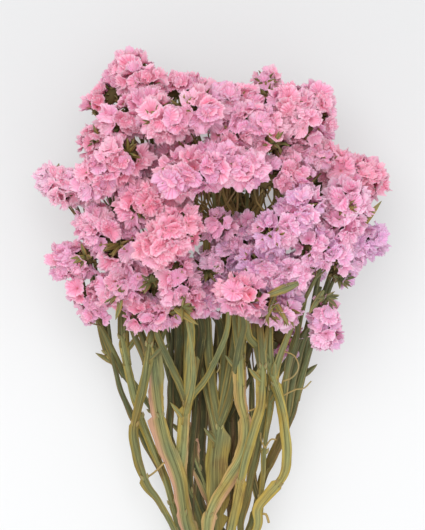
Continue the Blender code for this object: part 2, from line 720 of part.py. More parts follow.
def branch_lines(lines, sections):
    """Branches and leaflets, each placed clear of heads and of what other stems hold."""
    head_blocks = {}
    for head, parts in sections.items():
        spheres = envelope([section[:2] for section in parts])
        head_blocks[head] = [(*place, radius * HEAD_CLEAR_SHARE) for place, radius in spheres]
    stem_blocks = {}
    for name, fine in lines.items():
        radius = WING_HALF_WIDTH[0] * STEM_CLEAR_SHARE
        stem_blocks[name] = [(*place, radius) for place in fine[::STEM_CLEAR_EVERY]]
    placed = {}
    for name, fine in lines.items():
        step = (fine[1] - fine[0]).length
        heads = STEMS[name][5]
        for order, head in enumerate(heads):
            back = round(BRANCH_SPACING * (len(heads) - order - 0.5) / step)
            root = fine[-1 - back]
            seat, down = head_seat(sections[head], HEADS[head][0])
            seat = seat + down * GAP
            upward = direction_at(fine, FINE_POINTS - 1 - back)
            leave = (upward + (seat - root).normalized() * BRANCH_TURN).normalized()
            blocks = [block for other, held in stem_blocks.items() if other != name for block in held]
            blocks += [block for other, held in head_blocks.items() if other != head for block in held]
            bend = clear_bend(root, leave, seat, down, numpy.array(blocks))
            placed[head] = (branch_centres(root, leave, seat, down, bend, BRANCH_SECTIONS), seat, down)
            line = branch_centres(root, leave, seat, down, bend, BEND_SAMPLES)
            stem_blocks[name] += [(*place, mix(BRANCH_HALF_WIDTH, index / BEND_SAMPLES))
                                  for index, place in enumerate(line)]
    leaflets = {}
    for name, fine in lines.items():
        blocks = [block for other, held in stem_blocks.items() if other != name for block in held]
        blocks += [block for held in head_blocks.values() for block in held]
        leaflets[name] = clear_leaflet(fine, numpy.array(blocks))
    return placed, leaflets


def clear_leaflet(fine, blocks):
    """Root and direction of a stem's leaflet, on the side with the most room."""
    place = FINE_POINTS - 1 - round(2 * BRANCH_SPACING / (fine[1] - fine[0]).length)
    upward = direction_at(fine, place)
    best = (-1e9, upward)
    for across, raised in LEAFLET_LEANS:
        direction = (upward + Vector((across, 0.0, raised))).normalized()
        line = numpy.array([tuple(fine[place] + direction * LEAFLET_LENGTH * share)
                            for share in LEAFLET_TEST_SHARES])
        apart = numpy.linalg.norm(line[:, None, :] - blocks[None, :, :3], axis=2)
        room = (apart - blocks[None, :, 3]).min()
        if room > best[0]:
            best = (room, direction)
    return fine[place], best[1]


def build_stem(name, fine, branches, leaf, chance):
    pieces = [main_stem(name, fine, chance.uniform(0, 2 * math.pi))]
    pieces += [branch(*branches[head]) for head in STEMS[name][5]]
    pieces.append(leaflet(*leaf))
    return join(name, pieces, material("stem_green", COLOURS["green"], STEM_ROUGHNESS))


def build_head(name, sections):
    side, _, colour, _ = HEADS[name]
    surface = material("calyx_" + colour, COLOURS[colour], PETAL_ROUGHNESS)
    body = solid("flower_" + name, *spike(sections, side))
    if min(vertex.co.z for vertex in body.data.vertices) < 0:
        cut_at_floor(body)
    body.data.materials.append(surface)
    return body


def tie_outline():
    """Points of the twine's inner wall, clear of the corner stems, and the way out at each."""
    corner_x = 2 * TIE_PITCH_X + RIB_HALF_WIDTH[1]
    corner_z = TIE_ROW_Z["front"] + RIB_HALF_DEPTH[1]
    half_x = 2 * TIE_PITCH_X + WING_HALF_WIDTH[1]
    grow = ((corner_x / half_x) ** 4 + 1) ** 0.25
    half_x, half_z = half_x * grow, corner_z * grow
    outline = []
    for index in range(TIE_ROUND_POINTS):
        angle = 2 * math.pi * (index + 0.5) / TIE_ROUND_POINTS
        cosine = math.copysign(math.sqrt(abs(math.cos(angle))), math.cos(angle))
        sine = math.copysign(math.sqrt(abs(math.sin(angle))), math.sin(angle))
        out = Vector((cosine ** 3 / half_x, 0.0, sine ** 3 / half_z)).normalized()
        outline.append((Vector((half_x * cosine, 0.0, half_z * sine)), out))
    return outline


def build_tie():
    """Turns of twine pressed together into one band round the stems."""
    slope = Vector((0.0, 1.0, AXIS_RISE)).normalized()
    middle = Vector((0.0, TIE_Y, axis_height(TIE_Y)))
    half = TIE_STRANDS * TIE_STRAND_RADIUS
    profile = [(TIE_SLACK, -half), (TIE_SLACK, half)]
    for strand in range(TIE_STRANDS):
        along = half - TIE_STRAND_RADIUS * (2 * strand + 1)
        profile.append((TIE_SLACK + TIE_STRAND_RADIUS * 2, along))
        if strand < TIE_STRANDS - 1:
            profile.append((TIE_SLACK + TIE_STRAND_RADIUS * TIE_GROOVE_SHARE, along - TIE_STRAND_RADIUS))
    rings = [[middle + place + out * away + slope * along for away, along in profile]
             for place, out in tie_outline()]
    points, faces = loft(rings + [rings[0]])
    points = points[:-len(profile)]
    faces = [tuple(corner % len(points) for corner in reversed(face)) for face in faces[1:-1]]
    tie = solid("tie", points, faces)
    tie.data.materials.append(material("tie_twine", COLOURS["twine"], TWINE_ROUGHNESS))
    return tie


def centre_bunch(bodies):
    """Put the middle of the whole bunch's bounds over the origin."""
    corners = [vertex.co for body in bodies for vertex in body.data.vertices]
    shift = Vector((0.0, 0.0, 0.0))
    for axis in (0, 1):
        values = [corner[axis] for corner in corners]
        shift[axis] = -(min(values) + max(values)) / 2
    for body in bodies:
        body.data.transform(Matrix.Translation(shift))


def main():
    clear_scene()
    chance = random.Random(SEED)
    placed = place_heads()
    sections = {name: spike_sections(placed[name], HEADS[name][0]) for name in HEADS}
    bodies = [build_head(name, sections[name]) for name in HEADS]
    lines = {name: stem_line(name) for name in STEMS}
    branches, leaflets = branch_lines(lines, sections)
    bodies += [build_stem(name, lines[name], branches, leaflets[name], chance) for name in STEMS]
    bodies.append(build_tie())
    centre_bunch(bodies)


main()
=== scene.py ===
"""Dried statice bunch, dressed: papery calyces, bracts, winged stems and a twine tie.

Lengths are in millimetres in the frame of the part's source. They become metres, and move
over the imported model, when a piece is finished.
"""

import math
import random

import bpy
import numpy
from mathutils import Matrix, Vector


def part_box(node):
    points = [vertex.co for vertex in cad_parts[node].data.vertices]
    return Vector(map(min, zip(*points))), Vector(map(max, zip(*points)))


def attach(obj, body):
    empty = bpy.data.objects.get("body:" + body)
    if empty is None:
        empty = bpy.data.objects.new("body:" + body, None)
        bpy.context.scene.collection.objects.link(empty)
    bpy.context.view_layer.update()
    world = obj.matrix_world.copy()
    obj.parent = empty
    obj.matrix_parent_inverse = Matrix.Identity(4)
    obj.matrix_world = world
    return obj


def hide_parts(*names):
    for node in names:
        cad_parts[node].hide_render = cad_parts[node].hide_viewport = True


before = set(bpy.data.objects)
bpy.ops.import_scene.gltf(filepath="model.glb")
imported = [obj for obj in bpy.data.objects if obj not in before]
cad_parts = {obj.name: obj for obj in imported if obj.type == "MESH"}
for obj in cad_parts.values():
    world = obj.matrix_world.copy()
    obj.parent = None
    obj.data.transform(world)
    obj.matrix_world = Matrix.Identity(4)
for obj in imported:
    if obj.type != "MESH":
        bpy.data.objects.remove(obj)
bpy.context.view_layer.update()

MM = 0.001
SEED = 21
GAP = 0.3

# The bunch along its length, as in the part
CUT_END_Y = -250.0
TIE_Y = -130.0
FAN_TOP_Y = 50.0
AXIS_END_Z = 8.6
AXIS_RISE = 0.135
FAN_HALF_DEPTH = 28.0

# The dome of flowers, as in the part
DOME_CENTRE = Vector((0.0, 125.0, 59.0))
DOME_HALF = Vector((122.0, 125.0, 45.0))
FLOOR_SINK = 3.0
FACE_UP = 0.25
DOME_RIM_SHARE = 0.05
SETTLE_STEPS = 120
SETTLE_PUSH = 0.3
SETTLE_SIDEWAYS = 0.12
HEAD_FULLNESS = 1.32
SINGLE_LEAN = Vector((0.3, 1.0, 0.2))
SINGLE_LENGTH_SHARE = 0.1
END_REACH_SHARE = 0.34
CELL_LENGTH_SHARE = 1.0
SEAT_SHARE = 0.90
SEAT_PULL_BACK = {1: 0.4, -1: 1.2}

# The bundle at the tie, as in the part
TIE_PITCH_X = 6.1
TIE_ROW_Z = {"front": 5.0, "middle": 0.0, "back": -5.0}
SPREAD_BELOW_X = 1.1
SPREAD_BELOW_Z = 0.6
WING_SHARE_BELOW = 0.64
PINCH_LENGTH = 35.0
STRAIGHT_BY_TIE = 16.0
STRAIGHT_SHARE = 0.2
WING_HALF_WIDTH = (4.2, 2.8)
RIB_HALF_WIDTH = (1.3, 1.6)
RIB_HALF_DEPTH = (1.3, 2.3)
FINE_POINTS = 240
CURVE_STEPS = 24
LEVEL_LEAST = 0.05

# Branches, as in the part
BRANCH_HALF_WIDTH = (2.3, 1.1)
BRANCH_HALF_DEPTH = (1.1, 0.9)
BRANCH_SPACING = 6.5
BRANCH_TURN = 0.45
BRANCH_PULL = 0.55
BRANCH_BENDS = (0.0, 4.0, 8.0, 13.0, 18.0)
BEND_DIRECTIONS = 10
BEND_CLEARANCE = 1.3
BEND_SAMPLES = 33
HEAD_CLEAR_SHARE = 0.93
STEM_CLEAR_SHARE = 0.8
STEM_CLEAR_EVERY = 4
CUP_RADIUS = 2.4
CUP_LENGTH = 3.5

# Each stem, as in the part: row and place at the tie, depth in the fan, wing width as a
# share, route from the tie up as (x, y), and the heads on its branches, lowest first
TIE_ROW, TIE_PLACE, FAN_DEPTH, WING_WIDTH, ROUTE, CARRIED = range(6)
STEMS = {
    "stem_far_left": ("back", -1.5, -0.45, 0.85,
                      [(-8, -88), (-20, -53), (-31, -25), (-42, -6), (-62, 20), (-76, 39)],
                      ["droop_left", "low_left", "under_left", "far_left"]),
    "stem_dark_left": ("front", -2, 0.85, 1.0,
                       [(-29, -85), (-38, -67), (-47, -52), (-55, -21), (-52, -1), (-48, 17), (-44, 45)],
                       ["skirt_left", "rosette_left", "coral_bar"]),
    "stem_light_left": ("middle", -1.5, 0.1, 0.9,
                        [(-26, -80), (-34, -53), (-43, -29), (-52, -4), (-59, 24), (-64, 50)],
                        ["mid_left", "left_brow", "spire_right", "spire"]),
    "stem_tan_left": ("front", -1, 0.45, 1.25,
                      [(-19, -85), (-24, -53), (-33, -25), (-38, 3), (-41, 31), (-42, 44)],
                      ["skirt_low", "coral_left", "upper_left"]),
    "stem_centre_left": ("middle", -0.5, 0.35, 1.0,
                         [(-15, -88), (-22, -53), (-20, -25), (-18, 2)],
                         ["skirt_gap", "skirt_mid", "cheek"]),
    "stem_broad": ("middle", 0.5, 0.05, 1.5,
                   [(-1, -88), (1, -67), (2, -39), (5, -15)],
                   ["bud", "ridge", "brow"]),
    "stem_tan_front": ("front", 0, 0.7, 1.15,
                       [(-4, -88), (1, -68), (20, -36), (24, -14), (20, 6), (20, 36)],
                       ["coral_ball", "saddle", "upper_mid", "finial"]),
    "stem_loop": ("front", 2, 0.5, 1.0,
                  [(31, -88), (32, -74), (39, -64), (50, -50), (53, -32), (50, -4), (44, 16), (38, 32)],
                  ["lilac_high", "tuft", "upper_right"]),
    "stem_right": ("back", 1.5, -0.25, 0.9,
                   [(27, -88), (37, -53), (43, -39), (53, -15), (59, 3), (65, 32)],
                   ["droop_right", "lilac_right", "under_right", "rosette_right", "far_right"]),
    "stem_long_front": ("front", 1, 1.0, 0.9,
                        [(13, -85), (18, -60), (23, -36), (29, -14), (34, 3), (35, 30)],
                        ["skirt_right", "lilac_low", "lilac_mid"]),
    "stem_thin": ("middle", 1.5, 0.1, 0.7,
                  [(31, -87), (36, -53), (37, -32), (40, -4), (42, 13)],
                  ["under_low_right", "shoulder", "corner"]),
    "stem_hidden_left": ("back", -0.5, -0.75, 0.9,
                         [(2, -88), (-1, -71), (-9, -50), (-17, -29), (-21, -11)],
                         ["under_low_left", "under_mid_left", "under_top_left", "crown_left"]),
    "stem_hidden_right": ("back", 0.5, -0.85, 0.9,
                          [(13, -88), (14, -50), (11, -18), (9, 10)],
                          ["purple_low", "under_mid", "under_top_right", "crown_right"]),
}

# Each head, as in the part: side of the dome, lift towards that side, colour, and the path
# of its spike as (x, y, radius), seen from above
SIDE, LIFT, COLOUR, SPIKE = range(4)
HEADS = {
    "spire": (1, 0, "pink", [(-83, 211, 9), (-70, 224, 11), (-59, 238, 12)]),
    "spire_right": (1, 0, "pink", [(-52, 221, 9)]),
    "crown_left": (1, -2, "pink", [(-37, 217, 8), (-28, 227, 11), (-13, 223, 10)]),
    "crown_right": (1, 0, "pink", [(4, 217, 10), (20, 216, 11)]),
    "finial": (1, 4, "pink", [(38, 219, 9), (38, 232, 8)]),
    "shoulder": (1, 6, "pink", [(52, 216, 12), (60, 204, 10)]),
    "corner": (1, -4, "pink", [(77, 201, 11), (75, 215, 11)]),
    "upper_left": (1, 4, "pink", [(-57, 198, 12), (-43, 206, 10)]),
    "left_brow": (1, 0, "pink", [(-86, 184, 11), (-72, 190, 10)]),
    "brow": (1, 6, "pink", [(-32, 195, 12), (-12, 200, 12)]),
    "upper_mid": (1, 8, "pink", [(13, 185, 11), (27, 194, 11), (38, 183, 10)]),
    "upper_right": (1, 6, "pink", [(53, 178, 10), (68, 175, 12), (82, 174, 9)]),
    "cheek": (1, 4, "pink", [(-42, 172, 11), (-24, 178, 11)]),
    "mid_left": (1, 2, "pink", [(-58, 167, 12), (-75, 155, 10)]),
    "far_left": (1, -6, "pale", [(-86, 160, 10), (-101, 151, 11), (-116, 159, 10)]),
    "ridge": (1, 8, "pink", [(-19, 162, 12), (-1, 167, 12), (17, 164, 11)]),
    "tuft": (1, 6, "pink", [(40, 161, 11), (54, 164, 9)]),
    "far_right": (1, -12, "coral", [(95, 165, 11), (110, 160, 13)]),
    "rosette_right": (1, 8, "lilac", [(88, 146, 14), (82, 128, 10)]),
    "lilac_right": (1, 0, "lilac", [(90, 92, 9), (99, 109, 12), (114, 116, 10)]),
    "lilac_mid": (1, 4, "lilac", [(44, 119, 10), (60, 132, 11)]),
    "lilac_high": (1, 5, "lilac", [(63, 111, 10), (77, 104, 8)]),
    "bud": (1, 2, "pink", [(3, 130, 10)]),
    "saddle": (1, 0, "lilac", [(1, 98, 10), (15, 110, 11), (27, 125, 10)]),
    "lilac_low": (1, 4, "lilac", [(35, 101, 10), (51, 96, 11)]),
    "coral_ball": (1, 8, "coral", [(21, 80, 14)]),
    "skirt_right": (1, 6, "lilac", [(43, 73, 11)]),
    "droop_right": (1, 0, "lilac", [(78, 72, 8), (80, 56, 10)]),
    "coral_bar": (1, 6, "coral", [(-50, 140, 11), (-34, 145, 10)]),
    "rosette_left": (1, 4, "pink", [(-64, 118, 14), (-78, 131, 10)]),
    "coral_left": (1, 8, "coral", [(-41, 108, 12), (-26, 120, 13)]),
    "low_left": (1, 0, "pink", [(-90, 103, 11), (-106, 101, 11)]),
    "droop_left": (1, 0, "pink", [(-95, 80, 10), (-88, 65, 8)]),
    "skirt_left": (1, 2, "pink", [(-70, 80, 9), (-57, 86, 11), (-43, 89, 11)]),
    "skirt_mid": (1, 0, "pink", [(-27, 93, 10), (-24, 77, 10)]),
    "skirt_low": (1, -4, "pink", [(-46, 63, 10), (-32, 65, 9)]),
    "skirt_gap": (1, -4, "lilac", [(-5, 75, 11)]),
    "purple_low": (-1, 0, "lilac", [(34, 42, 10)]),
    "under_left": (-1, 0, "pink", [(-80, 112, 11), (-90, 128, 11), (-94, 145, 11)]),
    "under_low_left": (-1, 7, "pink", [(-60, 92, 11), (-44, 82, 11), (-28, 76, 11)]),
    "under_mid_left": (-1, 4, "pink", [(-64, 160, 11), (-46, 152, 12), (-32, 138, 11)]),
    "under_top_left": (-1, 0, "pink", [(-56, 208, 11), (-38, 206, 12), (-20, 210, 11)]),
    "under_low_right": (-1, 7, "lilac", [(64, 96, 11), (48, 86, 11), (31, 80, 11)]),
    "under_mid": (-1, 2, "lilac", [(-6, 162, 11), (10, 152, 12), (26, 140, 11)]),
    "under_top_right": (-1, 0, "pink", [(54, 192, 11), (38, 200, 12), (20, 206, 11)]),
    "under_right": (-1, 0, "lilac", [(78, 122, 11), (86, 140, 11), (84, 158, 11)]),
}

# The green core of a head, in shares of the head's radius
CORE_SHARE = 0.41
CORE_SIDES = 12
CORE_STEPS = 4
CORE_END_RINGS = ((0.95, 0.30), (0.70, 0.62), (0.30, 0.80))
NOMINAL_RADIUS = 14.5
BARE_FROM = -0.40
BARE_TO = -0.05

# Calyx of a head of nominal radius: height and radius of its rings, outside and inside
CALYX_OUTSIDE = ((0.0, 0.7), (3.6, 1.9))
CALYX_RIM = (6.3, 7.3)
CALYX_INSIDE = ((5.8, 5.0), (4.3, 2.5))
CALYX_HEART_HEIGHT = 2.6
CALYX_SEED = 100 * SEED
CALYX_LOBES = 5
CALYX_SIDES = 36
CALYX_KINDS = 8
RIM_SPREAD = (0.72, 1.14)
NARROW_RISE = 0.5
LOBE_RISE = 0.75
LOBE_REACH = 0.09
LOBE_ROUNDNESS = 0.6
RUFFLES = ((2, 0.9), (3, 1.0), (5, 0.8), (7, 0.55))
PLEAT_RISE = (0.22, 0.80)
TOOTH_REACH = 0.065
SQUASH = (0.60, 1.0)
CALYX_SIZE = (0.35, 0.75)
CALYX_SPACING = 3.9
CALYX_LEAN = math.radians(27)
CALYX_SPREAD = 0.12
HEAD_SEED_STEP = 10

# Bracts between the calyces
BRACT_KINDS = 4
BRACT_SEED = 300 * SEED
BRACT_LENGTH = 5.4
BRACT_LENGTH_SHARES = (0.8, 1.15)
BRACT_CURLS = (0.2, 0.5)
BRACT_HALF_WIDTH = 1.5
BRACT_FOLD = 0.5
BRACT_THICKNESS = 0.6
BRACT_WIDTHS = ((0.0, 0.55), (0.35, 1.0), (0.7, 0.6), (1.0, 0.08))
BRACT_SPACING = 3.7
BRACT_LEAN = math.radians(48)
BRACT_SPREAD = 0.3
STEM_SEED_STEP = 7
DENSEST = 1.0

# Places that the photo shows bare of calyces, as (x, y, radius): brown eyes and bract clusters
# on the upper heads, and holes through the dome
EYES = (
    (89, 134, 4.2), (76, 159, 4.5), (52, 147, 5.0), (-66, 114, 6.0), (-48, 127, 6.0), (-73, 179, 5.0),
    (-45, 84, 7.0), (-35, 96, 6.0), (-84, 105, 4.5), (-19, 213, 8.0), (-31, 212, 6.0), (-6, 180, 7.5),
    (37, 212, 6.0), (-57, 183, 7.0), (-46, 192, 5.5), (82, 94, 8.0), (78, 82, 5.0), (19, 94, 6.5),
    (41, 180, 5.5), (-1, 87, 7.0), (45, 111, 4.0), (-69, 218, 5.0), (-61, 72, 5.0), (-22, 68, 6.0),
    (38, 62, 5.0), (58, 74, 5.5),
)
HOLES = ((-51, 182, 9), (-42, 182, 9), (-64, 205, 5), (-27, 207, 9))
EYE_BLEND = 1.5

# The dark hollow under the ridge, from its lower left to its upper right corner, the heads that
# keep their calyces in it, and its tangle of bare stalks
HOLLOW = ((-14, 128), (46, 158))
HOLLOW_SPARES = ("bud",)
HOLLOW_STALKS = 64
HOLLOW_STALK_RADIUS = (0.45, 1.15)
HOLLOW_STALK_SHADE = (0.4, 1.0)
HOLLOW_STALK_POINTS = 12
HOLLOW_PAST = (6, 4)
HOLLOW_DRIFT = (-22, 22)
HOLLOW_DEPTH = (48, 84)
HOLLOW_CROSSING = (0.35, 0.65)

# Route of a stalk in the hollow: share of its drift, share of the way up the hollow (None is
# where it crosses), and how far past that it lies, upwards and towards the camera
HOLLOW_ROUTE = ((0.0, 0, -12, -14), (0.2, 0, 3, -2), (0.9, None, 0, 5), (1.0, 1, 2, 1), (1.3, 1, 12, -4))

# Heads that the photo shows smaller or larger than the part's plain solids, or beside them:
# their size as a share of the solid's, and their shift as (x, y)
REFIT = {
    "spire": (0.86, 4, -4), "spire_right": (1.10, 6, 1), "crown_left": (0.90, 1, -6),
    "crown_right": (0.92, 0, -7), "finial": (0.78, -1, -5), "shoulder": (0.90, 0, -9),
    "corner": (0.82, -4, -2), "left_brow": (0.82, 8, -1), "upper_right": (0.88, -10, -1),
    "far_left": (0.88, 5, 1), "far_right": (0.96, -6, -1), "rosette_right": (0.98, -2, -12),
    "cheek": (1.10, -4, -3), "mid_left": (1.05, 1, 2), "low_left": (0.80, 6, -1),
    "droop_left": (0.80, 7, 3), "skirt_left": (0.95, 2, 3), "skirt_low": (0.95, 0, 5),
    "skirt_gap": (0.88, 1, 4), "skirt_right": (0.88, 0, 2), "bud": (0.74, 0, -4),
    "coral_ball": (0.72, 0, 2), "saddle": (0.95, 0, -2), "lilac_right": (0.86, -5, 2),
    "droop_right": (0.82, -2, -4), "rosette_left": (0.97, 1, -4), "coral_left": (0.86, 3, 1),
    "under_left": (0.76, 17, -10), "under_low_left": (0.92, 2, 3), "under_right": (0.84, -6, 0),
    "under_top_left": (0.88, 0, -4), "under_top_right": (0.88, 0, -4), "purple_low": (1.15, 9, 9),
}

# Heads that sit nearer to the camera than their solids, so that they show between the stems
RAISED = {"purple_low": 16}

# Sprigs of larger bracts, as (x, y, number, length)
SPRIGS = (
    (-61, 72, 9, 13), (-22, 68, 10, 13), (38, 62, 9, 13), (58, 74, 9, 11), (89, 134, 10, 7),
    (-45, 84, 9, 9), (-19, 213, 12, 9), (-30, 212, 7, 8), (-6, 180, 9, 9), (37, 212, 7, 9),
    (-73, 179, 6, 7), (82, 94, 12, 11), (78, 82, 9, 11), (-1, 87, 12, 11), (-57, 183, 9, 9),
    (41, 180, 7, 9), (-66, 114, 10, 7), (-84, 105, 6, 6), (30, 223, 6, 10), (-48, 127, 8, 8),
    (-35, 96, 7, 7), (-46, 192, 6, 8), (45, 111, 6, 9), (19, 94, 6, 7),
)
SPRIG_LEAN = (0.25, 0.85)
SPRIG_STAND = (0.80, 1.15)
SPRIG_LENGTH_SHARE = 0.35
SPRIG_HALF_WIDTH = (1.0, 1.7)
SPRIG_TAN = (0.0, 0.5)
SPRIG_SHADE = (0.2, 0.8)
SPRIG_DROOP = 0.25

# Single leaves: the head that each grows under, its root and tip as (x, y), how much higher than
# usual it lies, and its half width
LEAVES = (
    ("rosette_right", (98, 121), (116, 143), -20, 2.6), ("lilac_low", (58, 87), (33, 77), 0, 3.2),
    ("droop_right", (76, 82), (66, 66), -2, 2.2), ("skirt_low", (-34, 74), (-24, 62), -1, 2.0),
    ("skirt_right", (44, 84), (36, 60), 0, 2.2), ("skirt_right", (40, 78), (52, 58), 0, 2.0),
    ("skirt_mid", (-26, 70), (-10, 59), -7, 2.4), ("skirt_left", (-62, 76), (-66, 62), -8, 1.9),
)
LEAF_TOP_SHARE = 0.9
LEAF_ROOT_SINK = 2.0
LEAF_TIP_RISE = 1.0
LEAF_TAN = 0.1
LEAF_SHADE = 0.75
LONG_LEAF_DROOP = 0.1

# How much cooler, towards lilac, the calyces of each colour and of some heads are
TONES = {
    "pink": 0.0, "coral": -0.2, "lilac": 0.25, "pale": 0.1,
    "left_brow": -0.45, "rosette_right": -0.5, "spire": -0.1, "droop_right": -0.1,
    "lilac_high": -0.05, "skirt_gap": 0.0, "saddle": 0.0, "lilac_mid": 0.05, "coral_bar": 0.05,
    "skirt_right": 0.1, "lilac_low": 0.15, "mid_left": 0.15, "upper_mid": 0.15, "corner": 0.2,
    "skirt_low": 0.2, "skirt_mid": 0.25, "skirt_left": 0.25, "rosette_left": 0.25, "ridge": 0.3,
    "coral_ball": 0.35, "far_right": 0.35, "low_left": 0.4, "droop_left": 0.4, "bud": 0.5,
    "lilac_right": 0.6,
}

# Stems: stations across the wings and the paired ribs, how high the ribs stand there, and how
# the wings sway, wave, crinkle, curl and twist along a stem
WING_STATIONS = (1.0, 0.9, 0.66, 0.36)
RIB_STATIONS = (1.0, 0.75, 0.5, 0.25)
RIB_PROFILE = {1.0: 0.12, 0.75: 0.50, 0.5: 0.88, 0.25: 1.0, 0.0: 0.86}
WING_HALF_THICKNESS = (0.30, 0.12)
UNDERSIDE_SHARE = 0.8
STEM_EVERY = 2
CUT_BEVEL_SHARE = 0.15
WIDER_ABOVE_TIE = (20.0, 50.0)
WING_SWAY = 0.30
WING_SWAY_LENGTHS = (27.0, 11.0)
EDGE_WAVE = 0.05
EDGE_WAVE_LENGTH = 3.1
CRINKLE = 0.55
LEAST_CRINKLE = 0.25
CRINKLE_LENGTH = 1.9
CRINKLE_DRIFT = 3.0
CRINKLE_DRIFT_LENGTH = 7.0
CRINKLE_PHASE = 2.4
CRINKLE_SIDEWAYS = 0.5
EDGE_CURL = 0.9
EDGE_CURL_LENGTHS = (13.0, 17.0)
WING_TWIST = math.radians(30)
WING_TWIST_LENGTH = 36.0
WING_TWIST_PHASE = 3
WING_RIDGE = 0.6
TAN_FROM_TO = (0.15, 0.75)

# Nodes, where the wings end in shoulders with a pointed scale and start again narrower
NODE_SPACING = (52.0, 84.0)
FIRST_NODE = (20.0, 60.0)
NODE_FLARE = (0.16, 4.0)
NODE_DIP = (0.30, 12.0)
SEEN_NODES = {"stem_dark_left": [-51.0], "stem_loop": [16.0], "stem_right": [-22.0], "stem_thin": [-33.0]}
SHOULDER_SHARE = 0.35
SHOULDER_LENGTH = 7.0
SCALE_LENGTH = 5.0
SCALE_HALF_WIDTH = 1.1
SCALE_BACK = 1.5
SCALE_RAISED = 0.6
SCALE_LEANS = (0.28, 0.22)
SCALE_TAN = 0.75
SCALE_PALER = 0.6

# Branches to the heads, and the thin stalks from them to the rest of a head
BRANCH_WING = (3.0, 1.3)
BRANCH_RIB = (1.15, 0.9)
BRANCH_POINTS = 18
BRANCH_TAPER = 1.6
BRANCH_TAN = (0.08, 0.08)
BRANCH_SHADES = (0.5, 1.0)
CUP_WIDTHS = (1.6, 2.4)
PEDICEL_RADIUS = 0.55
PEDICEL_START = 0.74
PEDICEL_SAG = 3.0
PEDICEL_POINTS = 8
INTO_CORE = 0.8
STALK_SIDES = 6
STALK_LOOK = {"tan": 0.3, "ridge": 0.8, "edge": 0.5}

# Forks and side shoots: points, widths from bottom to top, how they widen at the start, the
# wavering of their two edges as (step, phase), and how tan their two wings are
FORK_POINTS = 44
FORK_CLIMB = 1.5
FORK_WIDTHS = (1.0, 0.7)
FORK_START = (-0.12, 0.10)
FORK_WAVE = 0.05
FORK_WAVES = ((1.0, 0.0), (1.3, 0.0))
FORK_TAN = (0.06, 0.03)
SHOOT_POINTS = 40
SHOOT_WIDTHS = (1.0, 0.45)
SHOOT_START = (-0.10, 0.15)
SHOOT_NARROWS = (0.4, 1.0)
SHOOT_WAVE = 0.12
SHOOT_WAVES = ((0.9, 0.0), (0.7, 2.0))
SHOOT_TAN = (0.15, 0.15)
SIDE_RIB = 1.3
SIDE_RIB_SHARE = 0.42
SIDE_RIB_DEPTH = 1.0
TENDRIL_POINTS = 14
TENDRIL_SHADE = 0.95

# Small pointed leaves: widths from root to tip, fold, rib, and how far the tip droops
LEAF_WIDTHS = (0.45, 0.85, 1.0, 0.85, 0.55, 0.08)
LEAF_FOLD = 0.5
LEAF_RIB = 0.4
LEAF_RIB_DEPTH = 0.15
LEAF_DROOP = 0.12

# The leaflet of each stem: its size as in the part, and the ways that it may lean
LEAFLET_LENGTH = 17.0
LEAFLET_HALF_WIDTH = 2.1
LEAFLET_TAN = 0.15
LEAFLET_DROOP = -0.09
LEAFLET_TEST_SHARES = (0.4, 0.6, 0.8, 1.0)
LEAFLET_LEANS = ((-0.9, 0.4), (0.9, 0.4), (-0.9, -0.3), (0.9, -0.3), (-0.4, 0.7), (0.4, 0.7))

# Twine tie, as in the part
TIE_STRANDS = 3
TIE_STRAND_RADIUS = 1.3
TIE_ROUND_POINTS = 120
TIE_SLACK = 0.7
TIE_SQUARENESS = 4

# The twine's plies, which wind round each other
TWINE_SIDES = 12
TWINE_PLIES = 3
TWINE_PLY_DEPTH = 0.17
TWINE_PLY_ROUNDNESS = 0.7
TWINE_TWISTS = 13

# The camera looks straight down, with the photo's frame at the height of the dome's middle
PHOTO_SIZE = (425, 530)
MM_PER_PIXEL = 0.7
VIEW_CENTRE = (0.35, 97.4)
LENS = 150.0
SENSOR = 36.0
CLIP_END = 10.0

# Floor and light, in metres, and the height in millimetres that no piece goes below
FLOOR_HALF_SIDE = 6.0
LEAST_HEIGHT = 0.1
SKY_COLOUR = (0.96, 0.98, 1.0, 1)
SKY_STRENGTH = 0.9

# Lamps: name, place, size and power
LAMPS = (("key", (-0.25, 0.60, 1.8), 1.4, 16.0), ("fill", (0.45, -0.2, 1.8), 1.6, 4.0))


def mix(pair, share):
    """Value between a pair: the first at share 0, the second at share 1."""
    return pair[0] + (pair[1] - pair[0]) * share


def ease(low, high, value):
    """0 below low, 1 above high, smooth between."""
    share = min(1.0, max(0.0, (value - low) / (high - low)))
    return share * share * (3 - 2 * share)


def level_axis(direction):
    """Unit vector across a direction and along the floor."""
    level = direction.cross(Vector((0.0, 0.0, 1.0)))
    return level.normalized() if level.length > LEVEL_LEAST else Vector((1.0, 0.0, 0.0))


def across_direction(vector, direction):
    """The part of a vector that is square to a direction, as a unit vector."""
    direction = direction.normalized()
    return (vector - direction * vector.dot(direction)).normalized()


def direction_at(route, index):
    low = route[max(0, index - 1)]
    high = route[min(len(route) - 1, index + 1)]
    return (high - low).normalized()


def smooth_route(points, count):
    """Evenly spaced points on a smooth curve through the given ones."""
    padded = [points[0] * 2 - points[1]] + points + [points[-1] * 2 - points[-2]]
    fine = []
    for span in range(len(points) - 1):
        before, start, end, after = padded[span:span + 4]
        for step in range(CURVE_STEPS):
            t = step / CURVE_STEPS
            fine.append(0.5 * ((2 * start) + (end - before) * t
                               + (2 * before - 5 * start + 4 * end - after) * t * t
                               + (3 * start - before - 3 * end + after) * t * t * t))
    fine.append(points[-1].copy())
    lengths = [0.0]
    for low, high in zip(fine, fine[1:]):
        lengths.append(lengths[-1] + (high - low).length)
    route = []
    place = 0
    for index in range(count):
        goal = lengths[-1] * index / (count - 1)
        while place < len(fine) - 2 and lengths[place + 1] < goal:
            place += 1
        share = (goal - lengths[place]) / (lengths[place + 1] - lengths[place])
        route.append(fine[place].lerp(fine[place + 1], min(1.0, share)))
    return route


# Where the stems, heads and branches lie, by the part's own rules

def axis_height(y):
    return AXIS_END_Z + AXIS_RISE * (y - CUT_END_Y)


